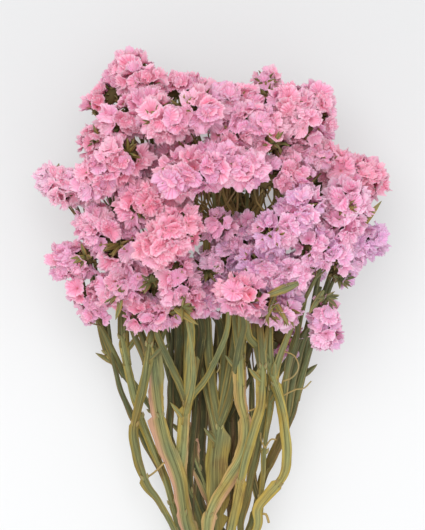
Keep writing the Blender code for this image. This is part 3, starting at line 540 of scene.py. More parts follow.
def pinch(y):
    """1 at the tie, falling to 0 away from it."""
    return math.exp(-((y - TIE_Y) / PINCH_LENGTH) ** 2)


def stem_line(name):
    """Fine centre line of a stem from its cut end to its top fork."""
    row, place, depth, _, points, _ = STEMS[name]
    row_z = TIE_ROW_Z[row]
    tie_x = place * TIE_PITCH_X
    route = []
    for y in (CUT_END_Y, (CUT_END_Y + TIE_Y) / 2, TIE_Y - STRAIGHT_BY_TIE):
        below = (TIE_Y - y) / (TIE_Y - CUT_END_Y)
        route.append(Vector((tie_x * (1 + SPREAD_BELOW_X * below), y,
                             axis_height(y) + row_z * (1 + SPREAD_BELOW_Z * below))))
    near_x = tie_x + (points[0][0] - tie_x) * STRAIGHT_SHARE
    for x, y in [(tie_x, TIE_Y), (near_x, TIE_Y + STRAIGHT_BY_TIE)] + points:
        above = (y - TIE_Y) / (FAN_TOP_Y - TIE_Y)
        route.append(Vector((x, y, axis_height(y) + row_z + (depth * FAN_HALF_DEPTH - row_z) * above)))
    return smooth_route(route, FINE_POINTS)


def dome_normal(place):
    offset = place - DOME_CENTRE
    return Vector([offset[axis] / DOME_HALF[axis] ** 2 for axis in range(3)]).normalized()


def envelope(lobes):
    """Spheres that a head stays inside: at its path points and between them."""
    spheres = [tuple(lobe) for lobe in lobes]
    for low, high in zip(lobes, lobes[1:]):
        spheres.append(((low[0] + high[0]) / 2, (low[1] + high[1]) / 2))
    return spheres


def place_heads():
    """Path points and radii of each head, moved apart until no two heads meet."""
    lobes = {}
    for name, (side, lift, _, table) in HEADS.items():
        lobes[name] = []
        for x, y, table_radius in table:
            radius = table_radius * HEAD_FULLNESS
            flat = ((x - DOME_CENTRE.x) / DOME_HALF.x) ** 2 + ((y - DOME_CENTRE.y) / DOME_HALF.y) ** 2
            height = DOME_HALF.z * math.sqrt(max(DOME_RIM_SHARE, 1.0 - flat)) + lift
            z = max(DOME_CENTRE.z + side * height, radius - FLOOR_SINK)
            lobes[name].append([Vector((x, y, z)), radius])
    names = list(lobes)
    for _ in range(SETTLE_STEPS):
        moves = {name: Vector() for name in names}
        spheres = {name: envelope(lobes[name]) for name in names}
        for index, first in enumerate(names):
            for second in names[index + 1:]:
                for centre, radius in spheres[first]:
                    for other, other_radius in spheres[second]:
                        apart = centre - other
                        short = radius + other_radius + GAP - apart.length
                        if short > 0:
                            push = apart.normalized() * short * SETTLE_PUSH
                            push.x *= SETTLE_SIDEWAYS
                            push.y *= SETTLE_SIDEWAYS
                            moves[first] += push
                            moves[second] -= push
        for name in names:
            lowest = min(centre.z - radius for centre, radius in lobes[name])
            moves[name].z = max(moves[name].z, -FLOOR_SINK - lowest)
            for lobe in lobes[name]:
                lobe[0] += moves[name]
    return lobes


def outward(centre, side):
    """Way that a head faces: off the dome, and a little up or down with its side."""
    return (dome_normal(centre) + Vector((0.0, 0.0, FACE_UP * side))).normalized()


def spike_sections(lobes, side):
    """Middle, radius, path direction and facing of each section of a head's arched spike."""
    path = [lobe[0] for lobe in lobes]
    radii = [lobe[1] for lobe in lobes]
    if len(path) == 1:
        half = outward(path[0], side).cross(SINGLE_LEAN).normalized() * radii[0] * SINGLE_LENGTH_SHARE
        path = [path[0] - half, path[0] + half]
        radii = radii * 2
    ends = []
    for end, inner, radius in ((path[0], path[1], radii[0]), (path[-1], path[-2], radii[-1])):
        ends.append(end + (end - inner).normalized() * radius * END_REACH_SHARE)
    path = [ends[0]] + path[1:-1] + [ends[1]]
    length = sum((high - low).length for low, high in zip(path, path[1:]))
    cells = max(1, round(length / (CELL_LENGTH_SHARE * sum(radii) / len(radii))))
    route = smooth_route(path, cells + 1)
    sections = []
    for index, centre in enumerate(route):
        share = index / cells * (len(radii) - 1)
        low = min(len(radii) - 2, int(share))
        radius = mix((radii[low], radii[low + 1]), share - low)
        along = direction_at(route, index)
        sections.append((centre, radius, along, across_direction(outward(centre, side), along)))
    return sections


def head_seat(sections, side):
    """Middle of the flat seat under a head, and the way from the head to its branch."""
    cell = (len(sections) - 1) // 2
    low, high = sections[cell], sections[cell + 1]
    facing = (low[3] + high[3]).normalized()
    radius = (low[1] + high[1]) / 2
    direction = (facing * -1.0 + Vector((0.0, -SEAT_PULL_BACK[side], 0.0))).normalized()
    return (low[0] + high[0]) / 2 + direction * SEAT_SHARE * radius, direction


def branch_centres(root, leave, seat, down, bend, count):
    """Centre line of a branch from its root to the start of its cup, with a sideways bend."""
    cup_start = seat + down * CUP_LENGTH
    reach = (cup_start - root).length * BRANCH_PULL
    centres = []
    for index in range(count):
        t = index / (count - 1)
        centres.append(root * (2 * t ** 3 - 3 * t ** 2 + 1) + leave * reach * (t ** 3 - 2 * t ** 2 + t)
                       + cup_start * (3 * t ** 2 - 2 * t ** 3) - down * reach * (t ** 3 - t ** 2)
                       + bend * math.sin(math.pi * t) ** 2)
    return centres


def clearance(centres, blocks):
    """Least distance from a branch's skin to the round obstacles."""
    line = numpy.array([tuple(centre) for centre in centres])
    widths = numpy.linspace(BRANCH_HALF_WIDTH[0], CUP_RADIUS, len(centres))
    apart = numpy.linalg.norm(line[:, None, :] - blocks[None, :, :3], axis=2)
    return float((apart - blocks[None, :, 3] - widths[:, None]).min())


def clear_bend(root, leave, seat, down, blocks):
    """The smallest sideways bend that keeps a branch clear of heads and of other stems."""
    chord = (seat - root).normalized()
    level = level_axis(chord)
    deep = chord.cross(level)
    best = (-math.inf, Vector())
    for size in BRANCH_BENDS:
        for index in range(BEND_DIRECTIONS if size else 1):
            angle = 2 * math.pi * index / BEND_DIRECTIONS
            bend = (level * math.cos(angle) + deep * math.sin(angle)) * size
            room = clearance(branch_centres(root, leave, seat, down, bend, BEND_SAMPLES), blocks)
            if room > best[0]:
                best = (room, bend)
        if best[0] > BEND_CLEARANCE:
            break
    return best[1]


def branch_lines(lines, sections):
    """Root, way out, seat, way down and bend of every head's branch."""
    head_blocks = {}
    for head, parts in sections.items():
        spheres = envelope([section[:2] for section in parts])
        head_blocks[head] = [(*place, radius * HEAD_CLEAR_SHARE) for place, radius in spheres]
    stem_blocks = {}
    for name, fine in lines.items():
        radius = WING_HALF_WIDTH[0] * STEM_CLEAR_SHARE
        stem_blocks[name] = [(*place, radius) for place in fine[::STEM_CLEAR_EVERY]]
    placed = {}
    for name, fine in lines.items():
        step = (fine[1] - fine[0]).length
        heads = STEMS[name][CARRIED]
        for order, head in enumerate(heads):
            back = round(BRANCH_SPACING * (len(heads) - order - 0.5) / step)
            root = fine[-1 - back]
            seat, down = head_seat(sections[head], HEADS[head][SIDE])
            seat = seat + down * GAP
            upward = direction_at(fine, FINE_POINTS - 1 - back)
            leave = (upward + (seat - root).normalized() * BRANCH_TURN).normalized()
            blocks = [block for other, held in stem_blocks.items() if other != name for block in held]
            blocks += [block for other, held in head_blocks.items() if other != head for block in held]
            bend = clear_bend(root, leave, seat, down, numpy.array(blocks))
            placed[head] = (root, leave, seat, down, bend)
            line = branch_centres(root, leave, seat, down, bend, BEND_SAMPLES)
            stem_blocks[name] += [(*place, mix(BRANCH_HALF_WIDTH, index / BEND_SAMPLES))
                                  for index, place in enumerate(line)]
    return placed


# Meshes

class Skin:
    """Points, faces and named point values gathered for one mesh."""

    def __init__(self, *names):
        self.points = []
        self.faces = []
        self.values = {name: [] for name in names}

    def add(self, points, faces, **values):
        start = len(self.points)
        self.points += points
        self.faces += [tuple(corner + start for corner in face) for face in faces]
        for name, held in self.values.items():
            given = values.get(name, 0.0)
            held += given if isinstance(given, list) else [given] * len(points)

    def build(self, name):
        mesh = bpy.data.meshes.new(name)
        mesh.from_pydata([tuple(point) for point in self.points], [], self.faces)
        for value_name, held in self.values.items():
            mesh.attributes.new(value_name, "FLOAT", "POINT").data.foreach_set("value", held)
        mesh.shade_smooth()
        mesh.update()
        return mesh


def ring_faces(rows, count, closed=False):
    """Quads between rings of equal count, with end caps unless the rings close on themselves."""
    faces = []
    spans = rows if closed else rows - 1
    for row in range(spans):
        next_row = (row + 1) % rows
        for side in range(count):
            far = (side + 1) % count
            faces.append((row * count + side, row * count + far,
                          next_row * count + far, next_row * count + side))
    if not closed:
        faces.append(tuple(reversed(range(count))))
        faces.append(tuple(range((rows - 1) * count, rows * count)))
    return faces


def round_ring(centre, direction, level, half_width, half_depth, sides):
    """Points of an oval ring, wound so that a row of rings faces outwards."""
    deep = direction.cross(level).normalized()
    ring = []
    for index in range(sides):
        angle = 2 * math.pi * index / sides
        ring.append(centre + level * half_width * math.cos(angle) + deep * half_depth * math.sin(angle))
    return ring


def tube(skin, centres, widths, depths, sides, **values):
    """Tapered tube along a line, added to a skin with its length as a value."""
    level = level_axis(direction_at(centres, 0))
    points = []
    alongs = []
    length = 0.0
    for index, centre in enumerate(centres):
        direction = direction_at(centres, index)
        level = across_direction(level, direction)
        points += round_ring(centre, direction, level, widths[index], depths[index], sides)
        length += (centre - centres[max(0, index - 1)]).length
        alongs += [length] * sides
    acrosses = [math.cos(2 * math.pi * side / sides) for side in range(sides)] * len(centres)
    skin.add(points, ring_faces(len(centres), sides), along=alongs, across=acrosses, **values)


# Calyces and bracts, and the cores that they stand on

def calyx_mesh(kind):
    """Pleated, five-lobed papery funnel with a toothed rim, closed, with its mouth up."""
    chance = random.Random(CALYX_SEED + kind)
    spread = mix(RIM_SPREAD, kind / (CALYX_KINDS - 1))
    squash = mix(SQUASH, chance.random())
    lobe_phase = chance.uniform(0, 2 * math.pi)
    warps = [(turns, rise, chance.uniform(0, 2 * math.pi)) for turns, rise in RUFFLES]
    pleats = [(1 if side % 2 else -1) * mix(PLEAT_RISE, chance.random()) for side in range(CALYX_SIDES)]
    teeth = [chance.uniform(-1, 1) for _ in range(CALYX_SIDES)]
    rings = [*CALYX_OUTSIDE, CALYX_RIM, *CALYX_INSIDE]
    skin = Skin("reach", "fold", "heart")
    points = []
    reach = []
    fold = []
    for height, radius in rings:
        share = radius / CALYX_RIM[1]
        for side in range(CALYX_SIDES):
            angle = 2 * math.pi * side / CALYX_SIDES
            lobe = 2 * abs(math.cos(CALYX_LOBES * angle / 2 + lobe_phase)) ** LOBE_ROUNDNESS - 1
            warp = sum(rise * math.sin(turns * angle + phase) for turns, rise, phase in warps)
            out = radius * (1 + (spread - 1) * share)
            out *= 1 + share ** 2 * (LOBE_REACH * lobe + TOOTH_REACH * teeth[side])
            rise = height + (1 - spread) * share ** 2 * radius * NARROW_RISE
            rise += share * PLEAT_RISE[0] * pleats[side] + share ** 2 * (LOBE_RISE * lobe + warp)
            rise += share ** 2 * (1 - PLEAT_RISE[0]) * pleats[side]
            points.append(Vector((out * math.cos(angle), out * squash * math.sin(angle), rise)))
            reach.append(share)
            # each point's pleat, up on a ridge and down in a valley, which the calyx finish uses to paint
            # shade into the valleys
            fold.append(pleats[side])
    faces = ring_faces(len(rings), CALYX_SIDES)
    bottom = faces.pop()
    points.append(Vector((0.0, 0.0, CALYX_HEART_HEIGHT)))
    for index, corner in enumerate(bottom):
        faces.append((corner, bottom[(index + 1) % CALYX_SIDES], len(points) - 1))
    heart = [0.0] * (len(points) - 1) + [1.0]
    skin.add(points, faces, reach=reach + [0.0], fold=fold + [0.0], heart=heart)
    mesh = skin.build(f"calyx_{kind}")
    crisp_folds(mesh)
    return mesh


def crisp_folds(mesh):
    """Keep the pleats of a calyx crisp under smooth shading: its ribs and its rim are sharp."""
    first = len(CALYX_OUTSIDE) * CALYX_SIDES
    for edge in mesh.edges:
        low, high = sorted(edge.vertices)
        rib = (high - low) % CALYX_SIDES == 0 and low >= first
        rim = low >= first and high < first + CALYX_SIDES
        edge.use_edge_sharp = rib or rim


def bract_mesh(kind):
    """Pointed, folded scale that leans off the core, closed."""
    chance = random.Random(BRACT_SEED + kind)
    length = BRACT_LENGTH * chance.uniform(*BRACT_LENGTH_SHARES)
    curl = chance.uniform(*BRACT_CURLS)
    skin = Skin("reach")
    points = []
    reach = []
    for share, width in BRACT_WIDTHS:
        half = BRACT_HALF_WIDTH * width
        fold = BRACT_FOLD * half
        back = curl * length * share ** 2
        for x, y in ((half, fold), (0.0, 0.0), (-half, fold), (0.0, -BRACT_THICKNESS * width)):
            points.append(Vector((x, y + back, length * share)))
            reach.append(share)
    rows = len(BRACT_WIDTHS)
    skin.add(points, ring_faces(rows, len(points) // rows), reach=reach)
    return skin.build(f"bract_{kind}")


def shape_collection(name, meshes):
    """Hidden shapes for a tree to place, kept out of the scene."""
    held = bpy.data.collections.new(name)
    for mesh in meshes:
        held.objects.link(bpy.data.objects.new(mesh.name, mesh))
    return held


def open_share(name, point):
    """How much of its cover a head keeps at a point: 0 at the bare places that the photo shows."""
    cover = 1.0
    for x, y, radius in (EYES if HEADS[name][SIDE] > 0 else ()) + HOLES:
        cover *= ease(radius, radius + EYE_BLEND, math.hypot(point.x - x, point.y - y))
    if name in HOLLOW_SPARES:
        return cover
    inside = 1.0
    for low, high, place in zip(*HOLLOW, point):
        inside *= ease(low - EYE_BLEND, low + EYE_BLEND, place)
        inside *= ease(high + EYE_BLEND, high - EYE_BLEND, place)
    return cover * (1 - inside)


def refitted(name, sections):
    """Sections of a head, sized about its middle and shifted as the photo shows it."""
    share, x, y = REFIT.get(name, (1.0, 0, 0))
    middle = (sections[0][0] + sections[-1][0]) / 2
    shift = Vector((x, y, RAISED.get(name, 0)))
    return [(middle + (centre - middle) * share + shift, radius * share, along, facing)
            for centre, radius, along, facing in sections]


def core_skin(skin, name, sections, tone):
    """Rounded core of a head, with the head's radius and its cover of calyces as values."""
    spans = len(sections) - 1
    centres = smooth_route([section[0] for section in sections], spans * CORE_STEPS + 1)
    stations = []
    for index, centre in enumerate(centres):
        share = index / CORE_STEPS
        low = min(spans - 1, int(share))
        here, there = sections[low], sections[low + 1]
        radius = mix((here[1], there[1]), share - low)
        facing = here[3].lerp(there[3], share - low)
        stations.append((centre, radius, direction_at(centres, index), facing, 1.0))
    for end, sign in ((stations[0], -1), (stations[-1], 1)):
        rings = []
        for width, ahead in CORE_END_RINGS:
            core = end[1] * CORE_SHARE
            rings.append((end[0] + end[2] * sign * core * ahead, end[1], end[2], end[3], width))
        stations = rings[::-1] + stations if sign < 0 else stations + rings
    points = []
    sizes = []
    covers = []
    for centre, radius, along, facing, width in stations:
        across = along.cross(across_direction(facing, along))
        half = radius * CORE_SHARE * width
        ring = round_ring(centre, along, across, half, half, CORE_SIDES)
        points += ring
        for point in ring:
            out = (point - centre).normalized().dot(facing.normalized()) * width
            sizes.append(CALYX_SIZE[0] + CALYX_SIZE[1] * radius / NOMINAL_RADIUS)
            covers.append(ease(BARE_FROM, BARE_TO, out) * open_share(name, point))
    faces = ring_faces(len(stations), CORE_SIDES)
    skin.add(points, faces, size=sizes, cover=covers, bract_cover=1.0, tone=tone)


# Node trees

# Sockets of a random value node for each kind of value: lowest, highest and result
RANDOM_SOCKETS = {"FLOAT_VECTOR": (0, 1, 0), "FLOAT": (2, 3, 1), "INT": (4, 5, 2)}

# Sockets of a colour mix node: share and both colours, and its result
MIX_SOCKETS = (0, 6, 7)
MIX_RESULT = 2


def put(name, data):
    """Object with its data, linked to the scene."""
    made = bpy.data.objects.new(name, data)
    bpy.context.scene.collection.objects.link(made)
    return made


def new_tree(name, kind, inputs, outputs):
    """Node tree with named inputs and outputs, each given as (name, kind, default)."""
    tree = bpy.data.node_groups.new(name, kind)
    for way, rows in (("INPUT", inputs), ("OUTPUT", outputs)):
        for socket_name, socket_kind, value in rows:
            socket = tree.interface.new_socket(
                name=socket_name, in_out=way, socket_type="NodeSocket" + socket_kind)
            if value is not None:
                socket.default_value = value
    return tree


def give(tree, socket, value):
    """Link a socket to another one, or set its value."""
    if isinstance(value, bpy.types.NodeSocket):
        tree.links.new(value, socket)
    else:
        socket.default_value = value


def add_node(tree, kind, inputs=(), **settings):
    """Node with its settings, and each input linked to a socket or given a value."""
    node = tree.nodes.new(kind)
    for name, value in settings.items():
        setattr(node, name, value)
    for name, value in dict(inputs).items():
        give(tree, node.inputs[name], value)
    return node


def random_value(tree, low, high, seed, kind="FLOAT"):
    """Random value socket between two bounds."""
    lowest, highest, result = RANDOM_SOCKETS[kind]
    node = add_node(tree, "FunctionNodeRandomValue", {
        lowest: low, highest: high, "Seed": seed}, data_type=kind)
    return node.outputs[result]


def math_value(tree, operation, first, second):
    return add_node(tree, "ShaderNodeMath", {0: first, 1: second}, operation=operation).outputs[0]


def scatter_tree():
    """Tree that stands shapes on a core, closer than they are wide, and keeps the core if asked."""
    tree = new_tree("shapes_on_core", "GeometryNodeTree", (
        ("Mesh", "Geometry", None), ("Shapes", "Collection", None), ("Shape Count", "Int", 1),
        ("Cover Name", "String", "cover"), ("Spacing", "Float", CALYX_SPACING), ("Lean", "Float", 0.0),
        ("Size Spread", "Float", CALYX_SPREAD), ("Seed", "Int", SEED), ("Keep Core", "Bool", False),
        ("Finish", "Material", None)), (("Mesh", "Geometry", None),))
    given = tree.nodes.new("NodeGroupInput").outputs
    cover = add_node(tree, "GeometryNodeInputNamedAttribute", {
        "Name": given["Cover Name"]}, data_type="FLOAT")
    size = add_node(tree, "GeometryNodeInputNamedAttribute", {"Name": "size"}, data_type="FLOAT")
    spread = add_node(tree, "GeometryNodeDistributePointsOnFaces", {
        "Mesh": given["Mesh"], "Distance Min": given["Spacing"], "Density Max": DENSEST,
        "Density Factor": cover.outputs["Attribute"], "Seed": given["Seed"]}, distribute_method="POISSON")
    lean_seed, turn_seed, size_seed, pick_seed = [
        math_value(tree, "ADD", given["Seed"], step) for step in (1.0, 2.0, 3.0, 4.0)]
    back_lean = math_value(tree, "MULTIPLY", given["Lean"], -1.0)
    low = add_node(tree, "ShaderNodeCombineXYZ", {"X": back_lean, "Y": back_lean})
    high = add_node(tree, "ShaderNodeCombineXYZ", {"X": given["Lean"], "Y": given["Lean"]})
    leans = random_value(tree, low.outputs[0], high.outputs[0], lean_seed, "FLOAT_VECTOR")
    turn = random_value(tree, 0.0, 2 * math.pi, turn_seed)
    spin = add_node(tree, "ShaderNodeCombineXYZ", {"Z": turn})
    rotation = spread.outputs["Rotation"]
    for euler in (spin.outputs[0], leans):
        step = add_node(tree, "FunctionNodeEulerToRotation", {0: euler})
        rotation = add_node(tree, "FunctionNodeRotateRotation", {
            "Rotation": rotation, "Rotate By": step.outputs[0]}, rotation_space="LOCAL").outputs[0]
    least = math_value(tree, "SUBTRACT", 1.0, given["Size Spread"])
    most = math_value(tree, "ADD", 1.0, given["Size Spread"])
    grown = random_value(tree, least, most, size_seed)
    scale = math_value(tree, "MULTIPLY", size.outputs["Attribute"], grown)
    last_shape = math_value(tree, "SUBTRACT", given["Shape Count"], 1.0)
    pick = random_value(tree, 0, last_shape, pick_seed, "INT")
    shapes = add_node(tree, "GeometryNodeCollectionInfo", {
        "Collection": given["Shapes"], "Separate Children": True, "Reset Children": True})
    placed = add_node(tree, "GeometryNodeInstanceOnPoints", {
        "Points": spread.outputs["Points"], "Instance": shapes.outputs[0], "Pick Instance": True,
        "Instance Index": pick, "Rotation": rotation, "Scale": scale})
    tinted = add_node(tree, "GeometryNodeStoreNamedAttribute", {
        "Geometry": placed.outputs[0], "Name": "tint", "Value": random_value(tree, 0.0, 1.0, turn_seed)},
        data_type="FLOAT", domain="INSTANCE")
    core = add_node(tree, "GeometryNodeSwitch", {
        "Switch": given["Keep Core"], "True": given["Mesh"]}, input_type="GEOMETRY")
    both = add_node(tree, "GeometryNodeJoinGeometry")
    tree.links.new(tinted.outputs[0], both.inputs[0])
    tree.links.new(core.outputs[0], both.inputs[0])
    real = add_node(tree, "GeometryNodeRealizeInstances", {"Geometry": both.outputs[0]})
    finish = add_node(tree, "GeometryNodeSetMaterial", {
        "Geometry": real.outputs[0], "Material": given["Finish"]})
    out = tree.nodes.new("NodeGroupOutput")
    tree.links.new(finish.outputs[0], out.inputs[0])
    return tree


def run_tree(mesh, tree, values):
    """Plain mesh that a tree makes from a mesh with the named values."""
    carrier = put(mesh.name, mesh)
    modifier = carrier.modifiers.new(tree.name, "NODES")
    modifier.node_group = tree
    for item in tree.interface.items_tree:
        if item.in_out == "INPUT" and item.name in values:
            modifier[item.identifier] = values[item.name]
    graph = bpy.context.evaluated_depsgraph_get()
    made = bpy.data.meshes.new_from_object(carrier.evaluated_get(graph))
    bpy.data.objects.remove(carrier, do_unlink=True)
    return made


# Materials

# Fold, body, rim and cool colours of each kind of calyx, and the colour of its heart; the fold colour is both
# the darker pink towards the throat and painted shade in the valleys of the pleats
PETAL_COLOURS = {
    "pink": ((0.74, 0.16, 0.26, 1), (0.90, 0.33, 0.46, 1), (0.95, 0.53, 0.66, 1), (0.83, 0.41, 0.63, 1)),
    "coral": ((0.78, 0.16, 0.25, 1), (0.92, 0.32, 0.44, 1), (0.96, 0.50, 0.62, 1), (0.88, 0.40, 0.60, 1)),
    "lilac": ((0.68, 0.18, 0.34, 1), (0.92, 0.40, 0.58, 1), (0.96, 0.58, 0.75, 1), (0.74, 0.42, 0.70, 1)),
    "pale": ((0.80, 0.21, 0.33, 1), (0.95, 0.39, 0.53, 1), (0.97, 0.63, 0.75, 1), (0.89, 0.52, 0.72, 1)),
}
HEART_COLOUR = (0.28, 0.10, 0.05, 1)

# Stem colours, dark and light, that follow a stem's shade, and those that all stems share
STEM_SHADES = {
    "rib": ((0.046, 0.046, 0.012, 1), (0.315, 0.318, 0.124, 1)),
    "wing": ((0.075, 0.053, 0.008, 1), (0.445, 0.330, 0.064, 1)),
    "warm": ((0.095, 0.048, 0.008, 1), (0.480, 0.315, 0.055, 1)),
    "cool": ((0.030, 0.038, 0.018, 1), (0.245, 0.285, 0.125, 1)),
}
STEM_COLOURS = {
    "brown": (0.170, 0.095, 0.025, 1), "tan": (0.520, 0.285, 0.180, 1), "dark": (0.030, 0.026, 0.007, 1),
    # the groove colour is painted shade, for the grooves where the ribs meet the wings
    "light": (0.56, 0.49, 0.17, 1), "painted_groove_shade": (0.070, 0.060, 0.018, 1), "pith": (0.55, 0.45, 0.27, 1),
}
BRACT_COLOURS = {
    "root": (0.120, 0.088, 0.034, 1), "tip": (0.360, 0.275, 0.110, 1), "green": (0.170, 0.180, 0.060, 1),
}
TWINE_COLOURS = ((0.20, 0.13, 0.06, 1), (0.55, 0.41, 0.24, 1))
FLOOR_GLOW = ((0.88, 0.88, 0.88, 1), (0.60, 0.60, 0.60, 1))
FLOOR_GLOW_FROM_TO = (-0.05, 0.30)

# Layers of each finish over its ground colour, lowest first: the value that a layer follows, from
# and to where it comes in (None follows the value itself), its most share, and its colour
PETAL_LAYERS = (
    ("reach", (0.05, 0.55), 1.0, "body"), ("reach", (0.65, 1.0), 1.0, "rim"),
    ("tint", (0.5, 1.0), 0.7, "cool"), ("patches", (0.45, 0.8), 1.0, "rim"),
    # the fold layer is painted shade: it darkens the valleys of the pleats
    ("fold", (-0.15, -0.8), 0.5, "deep"), ("heart", (0.45, 1.0), 0.75, "heart"),
)
BRACT_LAYERS = (("reach", None, 1.0, "tip"), ("tint", (0.5, 1.0), 1.0, "green"))
STEM_LAYERS = (
    ("edge", (0.0, 0.7), 1.0, "wing"), ("spans", (0.50, 0.66), 0.6, "warm"),
    ("spans", (0.46, 0.34), 0.7, "cool"), ("blotches", (0.57, 0.78), 1.0, "brown"),
    ("tan", None, 1.0, "tan"), ("streaks", (0.54, 0.30), 0.6, "dark"),
    # the ridge layer paints shade, in the groove colour, into the grooves where the ribs meet the wings
    ("streaks", (0.54, 0.72), 0.6, "light"), ("ridge", (0.45, 0.05), 0.45, "painted_groove_shade"),
    ("pith", None, 1.0, "pith"),
)

# Soft patterns on the surface, and how the stems' streaks are stretched along them
PATCHES = {"Scale": 45.0, "Detail": 2.0}
BLOTCHES = {"Scale": 38.0, "Detail": 3.0}
SPANS = {"Scale": 19.0, "Detail": 2.0}
STREAK_STRETCH = (("X", "across", 1.5), ("Y", "along", 0.035), ("Z", "shade", 60.0))

# Dry fibres of each finish, and the strength and depth of their relief
PETAL_FIBRES = {"Scale": 900.0, "Detail": 3.0, "Roughness": 0.5, "Strength": 0.25, "Distance": 0.0004}
STEM_FIBRES = {"Scale": 1.0, "Detail": 4.0, "Roughness": 0.65, "Strength": 0.7, "Distance": 0.0006}
TWINE_FIBRES = {"Scale": 900.0, "Detail": 4.0, "Roughness": 0.5, "Strength": 0.6, "Distance": 0.0005}

# Plain values of each finish
PETAL_SHADER = {"Roughness": 0.75, "Specular IOR Level": 0.2, "Subsurface Weight": 0.4,
                "Subsurface Radius": (1.0, 0.5, 0.6), "Subsurface Scale": 0.003}
BRACT_SHADER = {"Roughness": 0.8, "Specular IOR Level": 0.2}
STEM_SHADER = {"Roughness": 0.6, "Specular IOR Level": 0.35}
TWINE_SHADER = {"Roughness": 0.9}
FLOOR_SHADER = {"Base Color": (0.42, 0.42, 0.42, 1), "Emission Strength": 0.5, "Roughness": 0.9}


def new_material(name):
    made = bpy.data.materials.new(name)
    made.use_nodes = True
    return made, made.node_tree, made.node_tree.nodes["Principled BSDF"].inputs


def dress(tree, shader, links, values):
    """Links to a shader's inputs, and its plain values."""
    for name, socket in links.items():
        tree.links.new(socket, shader[name])
    for name, value in values.items():
        shader[name].default_value = value


def attributes(tree, *names):
    """Sockets that read the named point values of a piece."""
    return {name: add_node(tree, "ShaderNodeAttribute", attribute_name=name).outputs["Fac"] for name in names}


def object_place(tree):
    return add_node(tree, "ShaderNodeTexCoord").outputs["Object"]


def noise(tree, place, looks):
    return add_node(tree, "ShaderNodeTexNoise", {"Vector": place, **looks}).outputs[0]


def mix_colours(tree, share, first, second):
    """Colour socket between two colours or colour sockets."""
    given = dict(zip(MIX_SOCKETS, (share, first, second)))
    return add_node(tree, "ShaderNodeMix", given, data_type="RGBA").outputs[MIX_RESULT]


def ramp_value(tree, value, low, high):
    """Smooth 0 to 1 socket as a value goes from low to high."""
    node = add_node(tree, "ShaderNodeMapRange", {
        "Value": value, "From Min": low, "From Max": high}, interpolation_type="SMOOTHSTEP")
    return node.outputs[0]


def layered(tree, ground, layers, values, colours):
    """Colour socket of a ground colour under the layers of a finish."""
    out = ground
    for value_name, band, most, colour_name in layers:
        share = values[value_name]
        if band:
            share = math_value(tree, "MULTIPLY", ramp_value(tree, share, *band), most)
        out = mix_colours(tree, share, out, colours[colour_name])
    return out


def fibre_group():
    """Shader group that calyces, stems and twine share: a pattern of dry fibres, and its relief."""
    looks = [(name, "Float", value) for name, value in PETAL_FIBRES.items()]
    group = new_tree("dry_fibres", "ShaderNodeTree", [("Place", "Vector", None)] + looks,
                     [("Fibres", "Float", None), ("Normal", "Vector", None)])
    given = group.nodes.new("NodeGroupInput").outputs
    fibres = noise(group, given["Place"], {name: given[name] for name in ("Scale", "Detail", "Roughness")})
    relief = add_node(group, "ShaderNodeBump", {
        "Height": fibres, "Strength": given["Strength"], "Distance": given["Distance"]})
    out = group.nodes.new("NodeGroupOutput")
    group.links.new(fibres, out.inputs["Fibres"])
    group.links.new(relief.outputs[0], out.inputs["Normal"])
    return group


def dry_fibres(tree, place, looks):
    """Pattern and relief sockets of a finish's fibres."""
    group = bpy.data.node_groups.get("dry_fibres") or fibre_group()
    node = add_node(tree, "ShaderNodeGroup", {"Place": place, **looks}, node_tree=group)
    return node.outputs["Fibres"], node.outputs["Normal"]


def petal_material(colour):
    """Papery calyx: deeper pink towards the throat, painted shade in the valleys of the pleats, paler rim,
    fine fibres, and a tint for each calyx.
    """
    made, tree, shader = new_material("calyx_" + colour)
    place = object_place(tree)
    values = attributes(tree, "reach", "fold", "heart", "tint", "tone")
    values["tint"] = math_value(tree, "ADD", values["tint"], values["tone"])
    values["patches"] = noise(tree, place, PATCHES)
    deep, body, rim, cool = PETAL_COLOURS[colour]
    colours = {"deep": deep, "body": body, "rim": rim, "cool": cool, "heart": HEART_COLOUR}
    out = layered(tree, deep, PETAL_LAYERS, values, colours)
    _, normal = dry_fibres(tree, place, PETAL_FIBRES)
    dress(tree, shader, {"Base Color": out, "Normal": normal}, PETAL_SHADER)
    return made


def bract_material():
    """Dry bract: brown at its root, straw at its tip, and some greener than others."""
    made, tree, shader = new_material("bract")
    values = attributes(tree, "reach", "tint")
    out = layered(tree, BRACT_COLOURS["root"], BRACT_LAYERS, values, BRACT_COLOURS)
    dress(tree, shader, {"Base Color": out}, BRACT_SHADER)
    return made


def stem_material():
    """Dry winged stem: grey-green paired ribs with painted shade in the grooves at their feet, olive wings,
    and edges that dried tan.
    """
    made, tree, shader = new_material("stem_green")
    place = object_place(tree)
    values = attributes(tree, "along", "across", "edge", "shade", "tan", "ridge", "pith")
    streak_place = add_node(tree, "ShaderNodeCombineXYZ", {
        axis: math_value(tree, "MULTIPLY", values[name], stretch) for axis, name, stretch in STREAK_STRETCH})
    values["streaks"], normal = dry_fibres(tree, streak_place.outputs[0], STEM_FIBRES)
    values["blotches"] = noise(tree, place, BLOTCHES)
    values["spans"] = noise(tree, place, SPANS)
    colours = dict(STEM_COLOURS)
    for name, (dark, light) in STEM_SHADES.items():
        colours[name] = mix_colours(tree, values["shade"], dark, light)
    out = layered(tree, colours["rib"], STEM_LAYERS, values, colours)
    dress(tree, shader, {"Base Color": out, "Normal": normal}, STEM_SHADER)
    return made


def twine_material():
    """Jute twine: straw fibres between brown ones."""
    made, tree, shader = new_material("tie_twine")
    fibres, normal = dry_fibres(tree, object_place(tree), TWINE_FIBRES)
    out = mix_colours(tree, fibres, *TWINE_COLOURS)
    dress(tree, shader, {"Base Color": out, "Normal": normal}, TWINE_SHADER)
    return made


